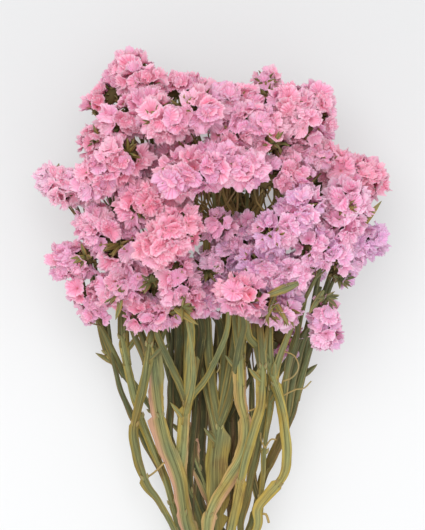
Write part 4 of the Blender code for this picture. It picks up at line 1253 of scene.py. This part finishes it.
def floor_material():
    """Pale floor that glows a little, less towards the far side."""
    made, tree, shader = new_material("pale_floor")
    far = add_node(tree, "ShaderNodeSeparateXYZ", {0: object_place(tree)}).outputs["Y"]
    glow = mix_colours(tree, ramp_value(tree, far, *FLOOR_GLOW_FROM_TO), *FLOOR_GLOW)
    dress(tree, shader, {"Emission Color": glow}, FLOOR_SHADER)
    return made


# Stems and their branches

# Each stem's shade from dark to light, how tan its left and right wings are, and its width
# The shade is partly a stem's own tone and partly painted shade: stems that lie behind the others, such as
# stem_hidden_right, are made darker.
SHADE, LEFT_TAN, RIGHT_TAN, WIDENED = range(4)
STEM_LOOKS = {
    "stem_far_left": (0.50, 0.15, 0.05, 1.0), "stem_dark_left": (0.50, 0.0, 0.0, 0.85),
    "stem_light_left": (0.80, 0.0, 0.05, 0.78), "stem_tan_left": (0.70, 1.0, 0.10, 1.15),
    "stem_centre_left": (0.95, 0.05, 0.45, 1.05), "stem_broad": (0.60, 0.0, 0.05, 1.45),
    "stem_tan_front": (0.95, 0.35, 0.70, 1.05), "stem_loop": (0.95, 0.0, 0.0, 0.9),
    "stem_right": (0.45, 0.0, 0.10, 0.95), "stem_long_front": (0.80, 0.10, 0.0, 0.95),
    "stem_thin": (0.60, 0.0, 0.0, 0.8), "stem_hidden_left": (0.75, 0.75, 1.0, 1.5),
    "stem_hidden_right": (0.08, 0.20, 0.35, 1.2),
}

# Forks seen below the flowers: stem that each leaves, the head that it reaches, its shade,
# its half width, and its route as (x, y) from the stem's top node
# The darkest shades, on the forks of the hidden stems behind the others, are painted shade.
FORKS = (
    ("stem_broad", "bud", 0.45, 3.5, [(1.4, 3), (-2, 31), (-3.5, 55), (-4.5, 76)]),
    ("stem_broad", "coral_ball", 0.35, 3.2, [(11, 2), (15, 20), (18, 41), (21, 62)]),
    ("stem_centre_left", "coral_ball", 0.70, 2.4, [(-12, 10), (-5, 19), (2, 33), (10, 55)]),
    ("stem_centre_left", "skirt_low", 0.45, 3.0, [(-23, 15), (-30, 31), (-38, 50)]),
    ("stem_centre_left", "skirt_mid", 0.95, 3.2, [(-17, 16), (-16, 32), (-15, 58)]),
    ("stem_hidden_left", "skirt_mid", 0.05, 3.6, [(-14, 12), (-9, 38), (-8, 60)]),
    ("stem_hidden_left", "coral_left", 0.10, 3.2, [(-26, 8), (-24, 34), (-24, 60)]),
    ("stem_hidden_right", "skirt_gap", 0.05, 3.6, [(8, 14), (6, 38), (4, 60)]),
    ("stem_hidden_right", "lilac_low", 0.10, 3.0, [(20, 24), (27, 44), (33, 64)]),
    ("stem_loop", "coral_ball", 0.80, 3.2, [(36, 36), (30, 44), (25, 50), (22, 64)]),
    ("stem_thin", "lilac_low", 0.30, 2.2, [(46, 22), (57, 41), (58, 62)]),
    ("stem_thin", "purple_low", 0.30, 1.6, [(43, 22), (43, 33)]),
)

# Side shoots behind the front stems: stem that each leaves, its shade, half width and depth in
# the fan, and its route as (x, y) from where it leaves the stem
# The lowest shades, on the shoots deepest in the fan, are painted shade for their place behind the front
# stems.
SHOOTS = (
    ("stem_hidden_left", 0.04, 3.4, -1.00, [(-1, -70), (-8, -45), (-7, -15), (-6, 20), (-4, 62)]),
    ("stem_hidden_right", 0.10, 3.2, -0.60, [(13, -62), (4, -40), (0, -10), (1, 25), (4, 64)]),
    ("stem_hidden_right", 0.02, 3.4, -0.90, [(13, -60), (18, -30), (18, 0), (17, 30), (16, 64)]),
    ("stem_hidden_left", 0.02, 3.0, -0.90, [(-5, -60), (-14, -40), (-12, -12), (-14, 20), (-12, 62)]),
    ("stem_thin", 0.15, 2.6, -0.40, [(33, -75), (27, -45), (24, -15), (20, 15), (18, 58)]),
    ("stem_tan_left", 0.12, 2.6, -0.30, [(-24, -53), (-30, -30), (-30, 0), (-29, 30), (-28, 60)]),
    ("stem_light_left", 0.25, 2.2, -0.20, [(-34, -53), (-49, -25), (-63, 5), (-70, 30), (-74, 62)]),
    ("stem_hidden_right", 0.05, 3.6, -1.05, [(5, -95), (-8, -75), (-9, -45), (-9, -15), (-8, 20)]),
    ("stem_right", 0.45, 3.0, -0.10, [(53, -15), (55, 8), (60, 32), (67, 56), (76, 84)]),
    ("stem_loop", 0.60, 2.4, 0.30, [(50, -4), (51, 15), (55, 38), (61, 58), (66, 80)]),
    ("stem_loop", 0.35, 2.0, 0.10, [(50, -4), (53, 20), (60, 44), (70, 62), (72, 84)]),
    ("stem_thin", 0.20, 2.4, -0.50, [(33, -75), (28, -45), (28, -15), (28, 8), (26, 28), (20, 58)]),
    ("stem_centre_left", 0.10, 2.8, -0.80, [(-14, -88), (-16, -62), (-16, -42), (-13, -12), (-10, 25)]),
    ("stem_right", 0.50, 3.0, -0.10,
     [(16, -98), (20, -84), (24.5, -66), (28, -48), (33, -26), (37, 0), (41, 32)]),
    ("stem_right", 0.20, 2.4, -0.30, [(39, -50), (47, -28), (57, -5), (62, 20), (70, 55)]),
)

# Dry tendrils and twigs: stem, depth in the fan, radius, and route as (x, y)
TENDRILS = (
    ("stem_loop", 0.75, 0.55, [(49, 18), (56, 21), (60, 28), (57, 36), (50, 39)]),
    ("stem_loop", 0.70, 0.50, [(50, 8), (58, 12), (64, 13), (69, 18)]),
    ("stem_dark_left", 0.80, 0.70, [(-48, -52), (-41, -47), (-34, -40)]),
    ("stem_long_front", 0.90, 0.60, [(25, -3), (31, -1), (38, 1)]),
    ("stem_thin", 0.50, 0.60, [(37, -30), (41, -24), (45, -24)]),
    ("stem_thin", 0.50, 0.60, [(37, -30), (34, -24), (34, -19)]),
    ("stem_loop", 0.60, 0.90, [(31, -71), (34, -77), (38, -78), (40, -84)]),
    ("stem_broad", 0.70, 0.50, [(3, 24), (5, 29), (1, 33), (-2, 30)]),
)


def section_stations(halves, rib, every):
    """Places across a stem's face from its left edge to its right: (x, wing share, rib share)."""
    sides = []
    for half in halves:
        side = [(rib + max(0.0, half - rib) * share, share, 1.0) for share in WING_STATIONS[::every]]
        side += [(min(rib, half) * share, 0.0, share) for share in RIB_STATIONS[::every]]
        sides.append(side)
    left = [(-x, wing, share) for x, wing, share in sides[0]]
    return left + [(0.0, 0.0, 0.0)] + sides[1][::-1]


def sweep(skin, line, level, halves, ribs, depths, tans, shade, curls=None, twists=None, crinkle=0.0,
          fine=False):
    """Winged stem or blade along a line: two ribs between thin wings, closed at both ends."""
    rows = len(line)
    points = []
    values = {name: [] for name in ("along", "across", "edge", "ridge", "tan")}
    length = 0.0
    for index, centre in enumerate(line):
        direction = direction_at(line, index)
        level = across_direction(level, direction)
        twist = twists[index] if twists else 0.0
        flat = direction.cross(level).normalized()
        wide = level * math.cos(twist) + flat * math.sin(twist)
        deep = flat * math.cos(twist) - level * math.sin(twist)
        length += (centre - line[max(0, index - 1)]).length
        drift = CRINKLE_DRIFT * math.sin(length / CRINKLE_DRIFT_LENGTH)
        upper = []
        lower = []
        marks = []
        for x, wing, rib_share in section_stations(halves[index], ribs[index], 1 if fine else 2):
            side = 0 if x < 0 else 1
            raised = RIB_PROFILE[rib_share] * depths[index] * (1 if wing == 0 else 1 - wing)
            thick = mix(WING_HALF_THICKNESS, wing)
            curl = (curls[index][side] if curls else 0.0) * wing ** 2
            wave = math.sin(length / CRINKLE_LENGTH + CRINKLE_PHASE * side + drift)
            ripple = crinkle * wing ** 3 * wave
            sideways = x + math.copysign(ripple * CRINKLE_SIDEWAYS, x)
            middle = centre + wide * sideways + deep * (curl + ripple)
            upper.append(middle + deep * (thick + raised))
            lower.append(middle - deep * (thick + UNDERSIDE_SHARE * raised))
            # how high the rib stands at this station; the stem finish paints shade into the grooves where
            # this is low
            ridge = RIB_PROFILE[rib_share] if wing == 0 else WING_RIDGE
            marks.append((length, x, wing, ridge, tans[side] * ease(*TAN_FROM_TO, wing)))
        points += upper + lower[::-1]
        for mark in marks + marks[::-1]:
            for held, value in zip(values.values(), mark):
                held.append(value)
    count = len(points) // rows
    piths = [0.0] * len(points)
    if fine:
        piths[:count] = [1.0] * count
    skin.add(points, ring_faces(rows, count), shade=shade, pith=piths, **values)


def stem_nodes(name, chance):
    """Heights at which a stem has nodes: those seen in the photo, and others by chance."""
    nodes = list(SEEN_NODES.get(name, []))
    y = CUT_END_Y + chance.uniform(*FIRST_NODE)
    top = STEMS[name][ROUTE][-1][1] - NODE_SPACING[0] / 2
    while y < top:
        if all(abs(y - node) > NODE_SPACING[0] / 2 for node in nodes) and abs(y - TIE_Y) > STRAIGHT_BY_TIE:
            nodes.append(y)
        y += chance.uniform(*NODE_SPACING)
    return nodes


def stem_halves(name, phase, y, length, nodes):
    """Left and right half widths of a stem's wings at a place."""
    share = STEMS[name][WING_WIDTH] * STEM_LOOKS[name][WIDENED]
    above = ease(TIE_Y + WIDER_ABOVE_TIE[0], TIE_Y + WIDER_ABOVE_TIE[1], y)
    share *= mix((WING_SHARE_BELOW, 1.0), above)
    for node in nodes:
        past = y - node
        if past < 0:
            share *= 1 + NODE_FLARE[0] * math.exp(past / NODE_FLARE[1])
        else:
            share *= 1 - NODE_DIP[0] * math.exp(-past / NODE_DIP[1])
    slow, quick = WING_SWAY_LENGTHS
    sway = WING_SWAY * (math.sin(phase + y / slow) + 0.5 * math.sin(2 * phase - y / quick))
    halves = []
    for side in (-1, 1):
        ragged = 1 + side * sway + EDGE_WAVE * math.sin(length / EDGE_WAVE_LENGTH + phase + side)
        halves.append(mix((WING_HALF_WIDTH[0] * share * ragged, WING_HALF_WIDTH[1]), pinch(y)))
    return halves


def main_stem(skin, name, fine, chance):
    """Stem from its cut end to its top fork, with its nodes and their scales."""
    shade, tan_left, tan_right, _ = STEM_LOOKS[name]
    phase = chance.uniform(0, 2 * math.pi)
    nodes = stem_nodes(name, chance)
    line = [fine[0], fine[0].lerp(fine[1], CUT_BEVEL_SHARE)] + fine[STEM_EVERY::STEM_EVERY] + [fine[-1]]
    halves = []
    ribs = []
    depths = []
    curls = []
    twists = []
    length = 0.0
    for index, centre in enumerate(line):
        length += (centre - line[max(0, index - 1)]).length
        squeeze = pinch(centre.y)
        shoulder = mix((SHOULDER_SHARE, 1.0), ease(0.0, SHOULDER_LENGTH, (fine[-1] - centre).length))
        halves.append([half * shoulder for half in stem_halves(name, phase, centre.y, length, nodes)])
        ribs.append(mix(RIB_HALF_WIDTH, squeeze))
        depths.append(mix(RIB_HALF_DEPTH, squeeze))
        curls.append([EDGE_CURL * (1 - squeeze) * math.sin(length / reach + turns * phase)
                      for turns, reach in enumerate(EDGE_CURL_LENGTHS, 1)])
        twist = math.sin(length / WING_TWIST_LENGTH + WING_TWIST_PHASE * phase)
        twists.append(WING_TWIST * (1 - squeeze) * twist)
    crinkle = CRINKLE * max(tan_left, tan_right, LEAST_CRINKLE)
    sweep(skin, line, level_axis(direction_at(fine, 0)), halves, ribs, depths, (tan_left, tan_right), shade,
          curls=curls, twists=twists, crinkle=crinkle, fine=True)
    for node in nodes:
        place = min(range(1, FINE_POINTS), key=lambda index: abs(fine[index].y - node))
        node_scales(skin, fine, place, shade)
    node_scales(skin, fine, FINE_POINTS - 2, shade)


def node_scales(skin, fine, place, shade):
    """Two pointed tan scales that clasp a stem at a node."""
    direction = direction_at(fine, place)
    level = level_axis(direction)
    raised = level.cross(direction).normalized()
    paler = mix((shade, 1.0), SCALE_PALER)
    for side in (-1, 1):
        root = fine[place] + level * side * RIB_HALF_WIDTH[0] - direction * SCALE_BACK + raised * SCALE_RAISED
        lean = (direction + level * side * SCALE_LEANS[0] + raised * SCALE_LEANS[1]).normalized()
        blade(skin, root, lean, raised, SCALE_LENGTH, SCALE_HALF_WIDTH, SCALE_TAN, paler)


def blade(skin, root, direction, facing, length, half_width, tan, shade, droop=LEAF_DROOP):
    """Small pointed leaf, folded along its middle, that curves a little away from its facing."""
    level = direction.cross(facing).normalized()
    rows = len(LEAF_WIDTHS)
    line = []
    halves = []
    folds = []
    ribs = []
    for step, width in enumerate(LEAF_WIDTHS):
        share = step / (rows - 1)
        half = half_width * width
        line.append(root + direction * length * share - facing * droop * length * share ** 2)
        halves.append((half, half))
        folds.append((LEAF_FOLD * half, LEAF_FOLD * half))
        ribs.append(min(LEAF_RIB, LEAF_RIB * half))
    sweep(skin, line, level, halves, ribs, [LEAF_RIB_DEPTH] * rows, (tan, tan), shade, curls=folds)


def branch(skin, placed, sections, shade):
    """Narrow-winged branch to a head, its cup, and the thin stalks to the rest of the head."""
    root, leave, seat, down, bend = placed
    centres = branch_centres(root, leave, seat, down, bend, BRANCH_POINTS)
    centres += [seat, seat - down * CUP_LENGTH]
    rows = len(centres)
    shares = [index / (rows - 1) for index in range(rows)]
    halves = [(mix(BRANCH_WING, min(1.0, BRANCH_TAPER * share)),) * 2 for share in shares]
    ribs = [mix(BRANCH_RIB, share) for share in shares]
    depths = [mix(BRANCH_HALF_DEPTH, share) for share in shares]
    for index, width in zip((-2, -1), CUP_WIDTHS):
        halves[index] = (width, width)
        ribs[index] = width
        depths[index] = width
    sweep(skin, centres, level_axis(leave), halves, ribs, depths, BRANCH_TAN, shade)
    start = centres[round(PEDICEL_START * (BRANCH_POINTS - 1))]
    for centre, radius, _, facing in sections:
        goal = centre - facing * radius * CORE_SHARE * INTO_CORE
        middle = (start + goal) / 2 + down * PEDICEL_SAG
        stalk(skin, smooth_route([start, middle, goal], PEDICEL_POINTS), PEDICEL_RADIUS, shade)


def stalk(skin, line, radius, shade):
    """Thin round stalk along a line."""
    radii = [radius] * len(line)
    tube(skin, line, radii, radii, STALK_SIDES, shade=shade, **STALK_LOOK)


def side_stem(skin, line, halves, half_width, tans, shade):
    """Winged side stem along a line, with ribs that suit its width."""
    ribs = [min(SIDE_RIB, SIDE_RIB_SHARE * half_width)] * len(line)
    depths = [SIDE_RIB_DEPTH] * len(line)
    sweep(skin, line, level_axis(direction_at(line, 0)), halves, ribs, depths, tans, shade)


def wavering(half, index, depth, waves):
    """Left and right half widths at a point of a line, each with its own wave."""
    return [half * (1 + depth * math.sin(step * index + phase)) for step, phase in waves]


def fork(skin, fine, row, sections):
    """Winged fork from a stem's top node, through the photo's places, to a head."""
    _, head, shade, half_width, places = row
    start = fine[-2]
    goal = sections[head][len(sections[head]) // 2][0]
    points = [start]
    for x, y in places:
        climbed = (y - start.y) / (goal.y - start.y)
        points.append(Vector((x, y, mix((start.z, goal.z), climbed ** FORK_CLIMB))))
    line = smooth_route(points + [goal], FORK_POINTS)
    halves = []
    for index in range(FORK_POINTS):
        share = index / (FORK_POINTS - 1)
        half = half_width * mix(FORK_WIDTHS, share) * ease(*FORK_START, share)
        halves.append(wavering(half, index, FORK_WAVE, FORK_WAVES))
    side_stem(skin, line, halves, half_width, FORK_TAN, shade)


def fan_point(x, y, depth):
    """Place among the stems: 1 is the front of the fan and -1 its back."""
    above = (y - TIE_Y) / (FAN_TOP_Y - TIE_Y)
    return Vector((x, y, axis_height(y) + depth * FAN_HALF_DEPTH * above))


def shoot(skin, fine, row):
    """Winged side shoot that leaves a stem and runs up beside it into the flowers."""
    _, shade, half_width, depth, places = row
    start = min(fine, key=lambda point: abs(point.y - places[0][1]))
    line = smooth_route([start] + [fan_point(x, y, depth) for x, y in places[1:]], SHOOT_POINTS)
    halves = []
    for index in range(SHOOT_POINTS):
        share = index / (SHOOT_POINTS - 1)
        half = half_width * ease(*SHOOT_START, share) * mix(SHOOT_WIDTHS, ease(*SHOOT_NARROWS, share))
        halves.append(wavering(half, index, SHOOT_WAVE, SHOOT_WAVES))
    side_stem(skin, line, halves, half_width, SHOOT_TAN, shade)


def clear_leaflet(fine, blocks):
    """Root and direction of a stem's leaflet, on the side with the most room."""
    place = FINE_POINTS - 1 - round(2 * BRANCH_SPACING / (fine[1] - fine[0]).length)
    upward = direction_at(fine, place)
    best = (-math.inf, upward)
    for across, raised in LEAFLET_LEANS:
        direction = (upward + Vector((across, 0.0, raised))).normalized()
        line = numpy.array([tuple(fine[place] + direction * LEAFLET_LENGTH * share)
                            for share in LEAFLET_TEST_SHARES])
        apart = numpy.linalg.norm(line[:, None, :] - blocks[None, :, :3], axis=2)
        room = (apart - blocks[None, :, 3]).min()
        if room > best[0]:
            best = (room, direction)
    return fine[place], best[1]


def nearest_section(sections, x, y):
    """The section of an upper head that lies nearest to a place seen from above."""
    upper = [section for name, parts in sections.items() if HEADS[name][SIDE] > 0 for section in parts]
    return min(upper, key=lambda section: math.hypot(section[0].x - x, section[0].y - y))


def sprig(skin, sections, row, chance):
    """Tuft of pointed bracts that stand up between the calyces."""
    x, y, count, length = row
    centre, radius, _, facing = nearest_section(sections, x, y)
    out = (Vector((x, y, centre.z + radius)) - centre).normalized()
    root = centre + out * radius * CORE_SHARE * INTO_CORE
    for _ in range(count):
        angle = chance.uniform(0, 2 * math.pi)
        lean = chance.uniform(*SPRIG_LEAN)
        direction = (facing + Vector((math.cos(angle), math.sin(angle), 0.0)) * lean).normalized()
        outer_side = Vector((math.cos(angle), math.sin(angle), -lean)).normalized()
        reach = radius * (1 - CORE_SHARE) * chance.uniform(*SPRIG_STAND) + length * SPRIG_LENGTH_SHARE
        half_width = chance.uniform(*SPRIG_HALF_WIDTH)
        tan = chance.uniform(*SPRIG_TAN)
        shade = chance.uniform(*SPRIG_SHADE)
        blade(skin, root, direction, -outer_side, reach, half_width, tan, shade, SPRIG_DROOP)


def single_leaf(skin, sections, row):
    """Pointed leaf that grows from under a head and lies over its edge."""
    head, root, tip, lift, half_width = row
    top = max(section[0].z + section[1] * LEAF_TOP_SHARE for section in sections[head])
    start = Vector((*root, top + lift - LEAF_ROOT_SINK))
    end = Vector((*tip, top + lift + LEAF_TIP_RISE))
    direction = (end - start).normalized()
    facing = across_direction(Vector((0.0, 0.0, 1.0)), direction)
    length = (end - start).length
    blade(skin, start, direction, facing, length, half_width, LEAF_TAN, LEAF_SHADE, LONG_LEAF_DROOP)


def hollow_stalks(skin, chance):
    """Tangle of bare dry stalks that the hollow under the ridge lets one see."""
    (left, low), (right, high) = HOLLOW
    for _ in range(HOLLOW_STALKS):
        x = chance.uniform(left - HOLLOW_PAST[0], right + HOLLOW_PAST[1])
        drift = chance.uniform(*HOLLOW_DRIFT)
        depth = chance.uniform(*HOLLOW_DEPTH)
        crossing = chance.uniform(*HOLLOW_CROSSING)
        points = []
        for sideways, up, past, nearer in HOLLOW_ROUTE:
            y = mix((low, high), crossing if up is None else up) + past
            points.append(Vector((x + drift * sideways, y, depth + nearer)))
        radius = mix(HOLLOW_STALK_RADIUS, chance.random())
        shade = chance.uniform(*HOLLOW_STALK_SHADE)
        stalk(skin, smooth_route(points, HOLLOW_STALK_POINTS), radius, shade)


# The tie

def tie_outline():
    """Points of the twine's inner wall, clear of the corner stems, and the way out at each."""
    corner_x = 2 * TIE_PITCH_X + RIB_HALF_WIDTH[1]
    corner_z = TIE_ROW_Z["front"] + RIB_HALF_DEPTH[1]
    half_x = 2 * TIE_PITCH_X + WING_HALF_WIDTH[1]
    grow = ((corner_x / half_x) ** TIE_SQUARENESS + 1) ** (1 / TIE_SQUARENESS)
    half_x, half_z = half_x * grow, corner_z * grow
    outline = []
    for index in range(TIE_ROUND_POINTS):
        angle = 2 * math.pi * (index + 0.5) / TIE_ROUND_POINTS
        cosine, sine = (math.copysign(abs(turned) ** (2 / TIE_SQUARENESS), turned)
                        for turned in (math.cos(angle), math.sin(angle)))
        steepness = TIE_SQUARENESS - 1
        out = Vector((cosine ** steepness / half_x, 0.0, sine ** steepness / half_z)).normalized()
        outline.append((Vector((half_x * cosine, 0.0, half_z * sine)), out))
    return outline


def twine(skin, line):
    """Closed turn of twisted cord along a line: plies that wind round each other."""
    points = []
    for index, (centre, direction, out) in enumerate(line):
        side = direction.cross(out).normalized()
        turn = 2 * math.pi * TWINE_TWISTS * index / TIE_ROUND_POINTS
        for step in range(TWINE_SIDES):
            angle = 2 * math.pi * step / TWINE_SIDES
            ply = abs(math.cos(TWINE_PLIES * angle / 2 + turn)) ** TWINE_PLY_ROUNDNESS
            radius = TIE_STRAND_RADIUS * (1 - TWINE_PLY_DEPTH + TWINE_PLY_DEPTH * ply)
            points.append(centre + (out * math.cos(angle) + side * math.sin(angle)) * radius)
    skin.add(points, ring_faces(len(line), TWINE_SIDES, closed=True))


def build_tie():
    skin = Skin()
    slope = Vector((0.0, 1.0, AXIS_RISE)).normalized()
    middle = Vector((0.0, TIE_Y, axis_height(TIE_Y)))
    outline = tie_outline()
    for strand in range(TIE_STRANDS):
        along = slope * TIE_STRAND_RADIUS * (2 * strand - TIE_STRANDS + 1)
        line = []
        for index, (place, out) in enumerate(outline):
            before = outline[index - 1][0]
            after = outline[(index + 1) % TIE_ROUND_POINTS][0]
            centre = middle + place + out * (TIE_SLACK + TIE_STRAND_RADIUS) + along
            line.append((centre, (after - before).normalized(), out))
        twine(skin, line)
    mesh = skin.build("tie")
    mesh.materials.append(twine_material())
    finish_piece(mesh, "tie_twine", ["tie"])


# Pieces

def finish_piece(mesh, name, nodes=()):
    """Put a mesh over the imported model, flatten what would sink into the floor, and hand it over."""
    tie_low, tie_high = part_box("tie")
    shift = Vector(((tie_low.x + tie_high.x) / 2, (tie_low.y + tie_high.y) / 2 - TIE_Y * MM, 0.0))
    mesh.transform(Matrix.Translation(shift) @ Matrix.Scale(MM, 4))
    heights = numpy.empty(len(mesh.vertices) * 3)
    mesh.vertices.foreach_get("co", heights)
    heights[2::3] = numpy.maximum(heights[2::3], LEAST_HEIGHT * MM)
    mesh.vertices.foreach_set("co", heights)
    mesh.update()
    piece = put(name, mesh)
    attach(piece, "root")
    if nodes:
        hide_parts(*nodes)


def build_heads(sections):
    """Calyces of each head. Returns the tree that placed them."""
    tree = scatter_tree()
    calyces = shape_collection("calyx_shapes", [calyx_mesh(kind) for kind in range(CALYX_KINDS)])
    finishes = {colour: petal_material(colour) for colour in PETAL_COLOURS}
    for order, (name, row) in enumerate(HEADS.items()):
        colour = row[COLOUR]
        skin = Skin("size", "cover", "bract_cover", "tone")
        core_skin(skin, name, refitted(name, sections[name]), TONES.get(name, TONES[colour]))
        made = run_tree(skin.build("core_" + name), tree, {
            "Shapes": calyces, "Shape Count": CALYX_KINDS, "Cover Name": "cover", "Spacing": CALYX_SPACING,
            "Lean": CALYX_LEAN, "Size Spread": CALYX_SPREAD, "Seed": SEED + HEAD_SEED_STEP * order,
            "Finish": finishes[colour]})
        finish_piece(made, "calyces_" + name, ["flower_" + name])
    return tree


def build_bracts(tree, sections):
    """Bracts and cores of the heads that each stem carries."""
    bracts = shape_collection("bract_shapes", [bract_mesh(kind) for kind in range(BRACT_KINDS)])
    finish = bract_material()
    for order, (stem, row) in enumerate(STEMS.items()):
        skin = Skin("size", "cover", "bract_cover")
        for head in row[CARRIED]:
            core_skin(skin, head, refitted(head, sections[head]), 0.0)
        made = run_tree(skin.build("cores_" + stem), tree, {
            "Shapes": bracts, "Shape Count": BRACT_KINDS, "Cover Name": "bract_cover",
            "Spacing": BRACT_SPACING, "Lean": BRACT_LEAN, "Size Spread": BRACT_SPREAD,
            "Seed": SEED + STEM_SEED_STEP * order, "Keep Core": True, "Finish": finish})
        finish_piece(made, "bracts_" + stem)


def side_growth(skin, name, fine, sections):
    """Forks, side shoots and tendrils of a stem."""
    for row in FORKS:
        if row[0] == name:
            fork(skin, fine, row, sections)
    for row in SHOOTS:
        if row[0] == name:
            shoot(skin, fine, row)
    for stem, depth, radius, places in TENDRILS:
        if stem == name:
            line = smooth_route([fan_point(x, y, depth) for x, y in places], TENDRIL_POINTS)
            stalk(skin, line, radius, TENDRIL_SHADE)


def build_stems(lines, placed, sections):
    """Each stem with all that grew on it. The middle stem holds what stands in the dome."""
    chance = random.Random(SEED)
    finish = stem_material()
    blocks = numpy.array([(*place, radius * HEAD_CLEAR_SHARE) for parts in sections.values()
                          for place, radius in envelope([section[:2] for section in parts])])
    for name, fine in lines.items():
        skin = Skin("along", "across", "edge", "ridge", "tan", "shade", "pith")
        shade = STEM_LOOKS[name][SHADE]
        main_stem(skin, name, fine, chance)
        for head in STEMS[name][CARRIED]:
            branch(skin, placed[head], sections[head], shade * chance.uniform(*BRANCH_SHADES))
        side_growth(skin, name, fine, sections)
        root, direction = clear_leaflet(fine, blocks)
        facing = level_axis(direction).cross(direction).normalized()
        blade(skin, root, direction, facing, LEAFLET_LENGTH, LEAFLET_HALF_WIDTH, LEAFLET_TAN, shade,
              LEAFLET_DROOP)
        if name == "stem_broad":
            hollow_stalks(skin, chance)
            for row in SPRIGS:
                sprig(skin, sections, row, chance)
            for row in LEAVES:
                single_leaf(skin, sections, row)
        mesh = skin.build(name)
        mesh.materials.append(finish)
        finish_piece(mesh, "dressed_" + name, [name])


def build_floor():
    side = FLOOR_HALF_SIDE
    mesh = bpy.data.meshes.new("floor")
    corners = [(-side, -side, 0), (side, -side, 0), (side, side, 0), (-side, side, 0)]
    mesh.from_pydata(corners, [], [tuple(range(len(corners)))])
    mesh.materials.append(floor_material())
    floor = put("floor", mesh)


def build_light():
    world = bpy.data.worlds.new("studio")
    world.use_nodes = True
    sky = world.node_tree.nodes["Background"].inputs
    sky["Color"].default_value = SKY_COLOUR
    sky["Strength"].default_value = SKY_STRENGTH
    bpy.context.scene.world = world
    for name, place, size, power in LAMPS:
        lamp = bpy.data.lights.new(name, "AREA")
        lamp.size = size
        lamp.energy = power
        light = put(name, lamp)
        light.location = place
        light.rotation_euler = (-Vector(place)).to_track_quat("-Z", "Y").to_euler()


def build_camera():
    """Camera over the dome, so that a photo pixel is MM_PER_PIXEL at the dome's middle height."""
    lens_data = bpy.data.cameras.new("camera")
    lens_data.lens = LENS
    lens_data.sensor_width = SENSOR
    lens_data.clip_end = CLIP_END
    reach = PHOTO_SIZE[1] * MM_PER_PIXEL / 2 * LENS / (SENSOR / 2)
    camera = put("camera", lens_data)
    camera.location = Vector((*VIEW_CENTRE, DOME_CENTRE.z + reach)) * MM
    bpy.context.scene.camera = camera


def main():
    placed_heads = place_heads()
    sections = {name: spike_sections(placed_heads[name], HEADS[name][SIDE]) for name in HEADS}
    lines = {name: stem_line(name) for name in STEMS}
    placed = branch_lines(lines, sections)
    tree = build_heads(sections)
    build_bracts(tree, sections)
    build_stems(lines, placed, sections)
    build_tie()
    build_floor()
    build_light()
    build_camera()
    bpy.context.scene.view_settings.view_transform = "Standard"


main()
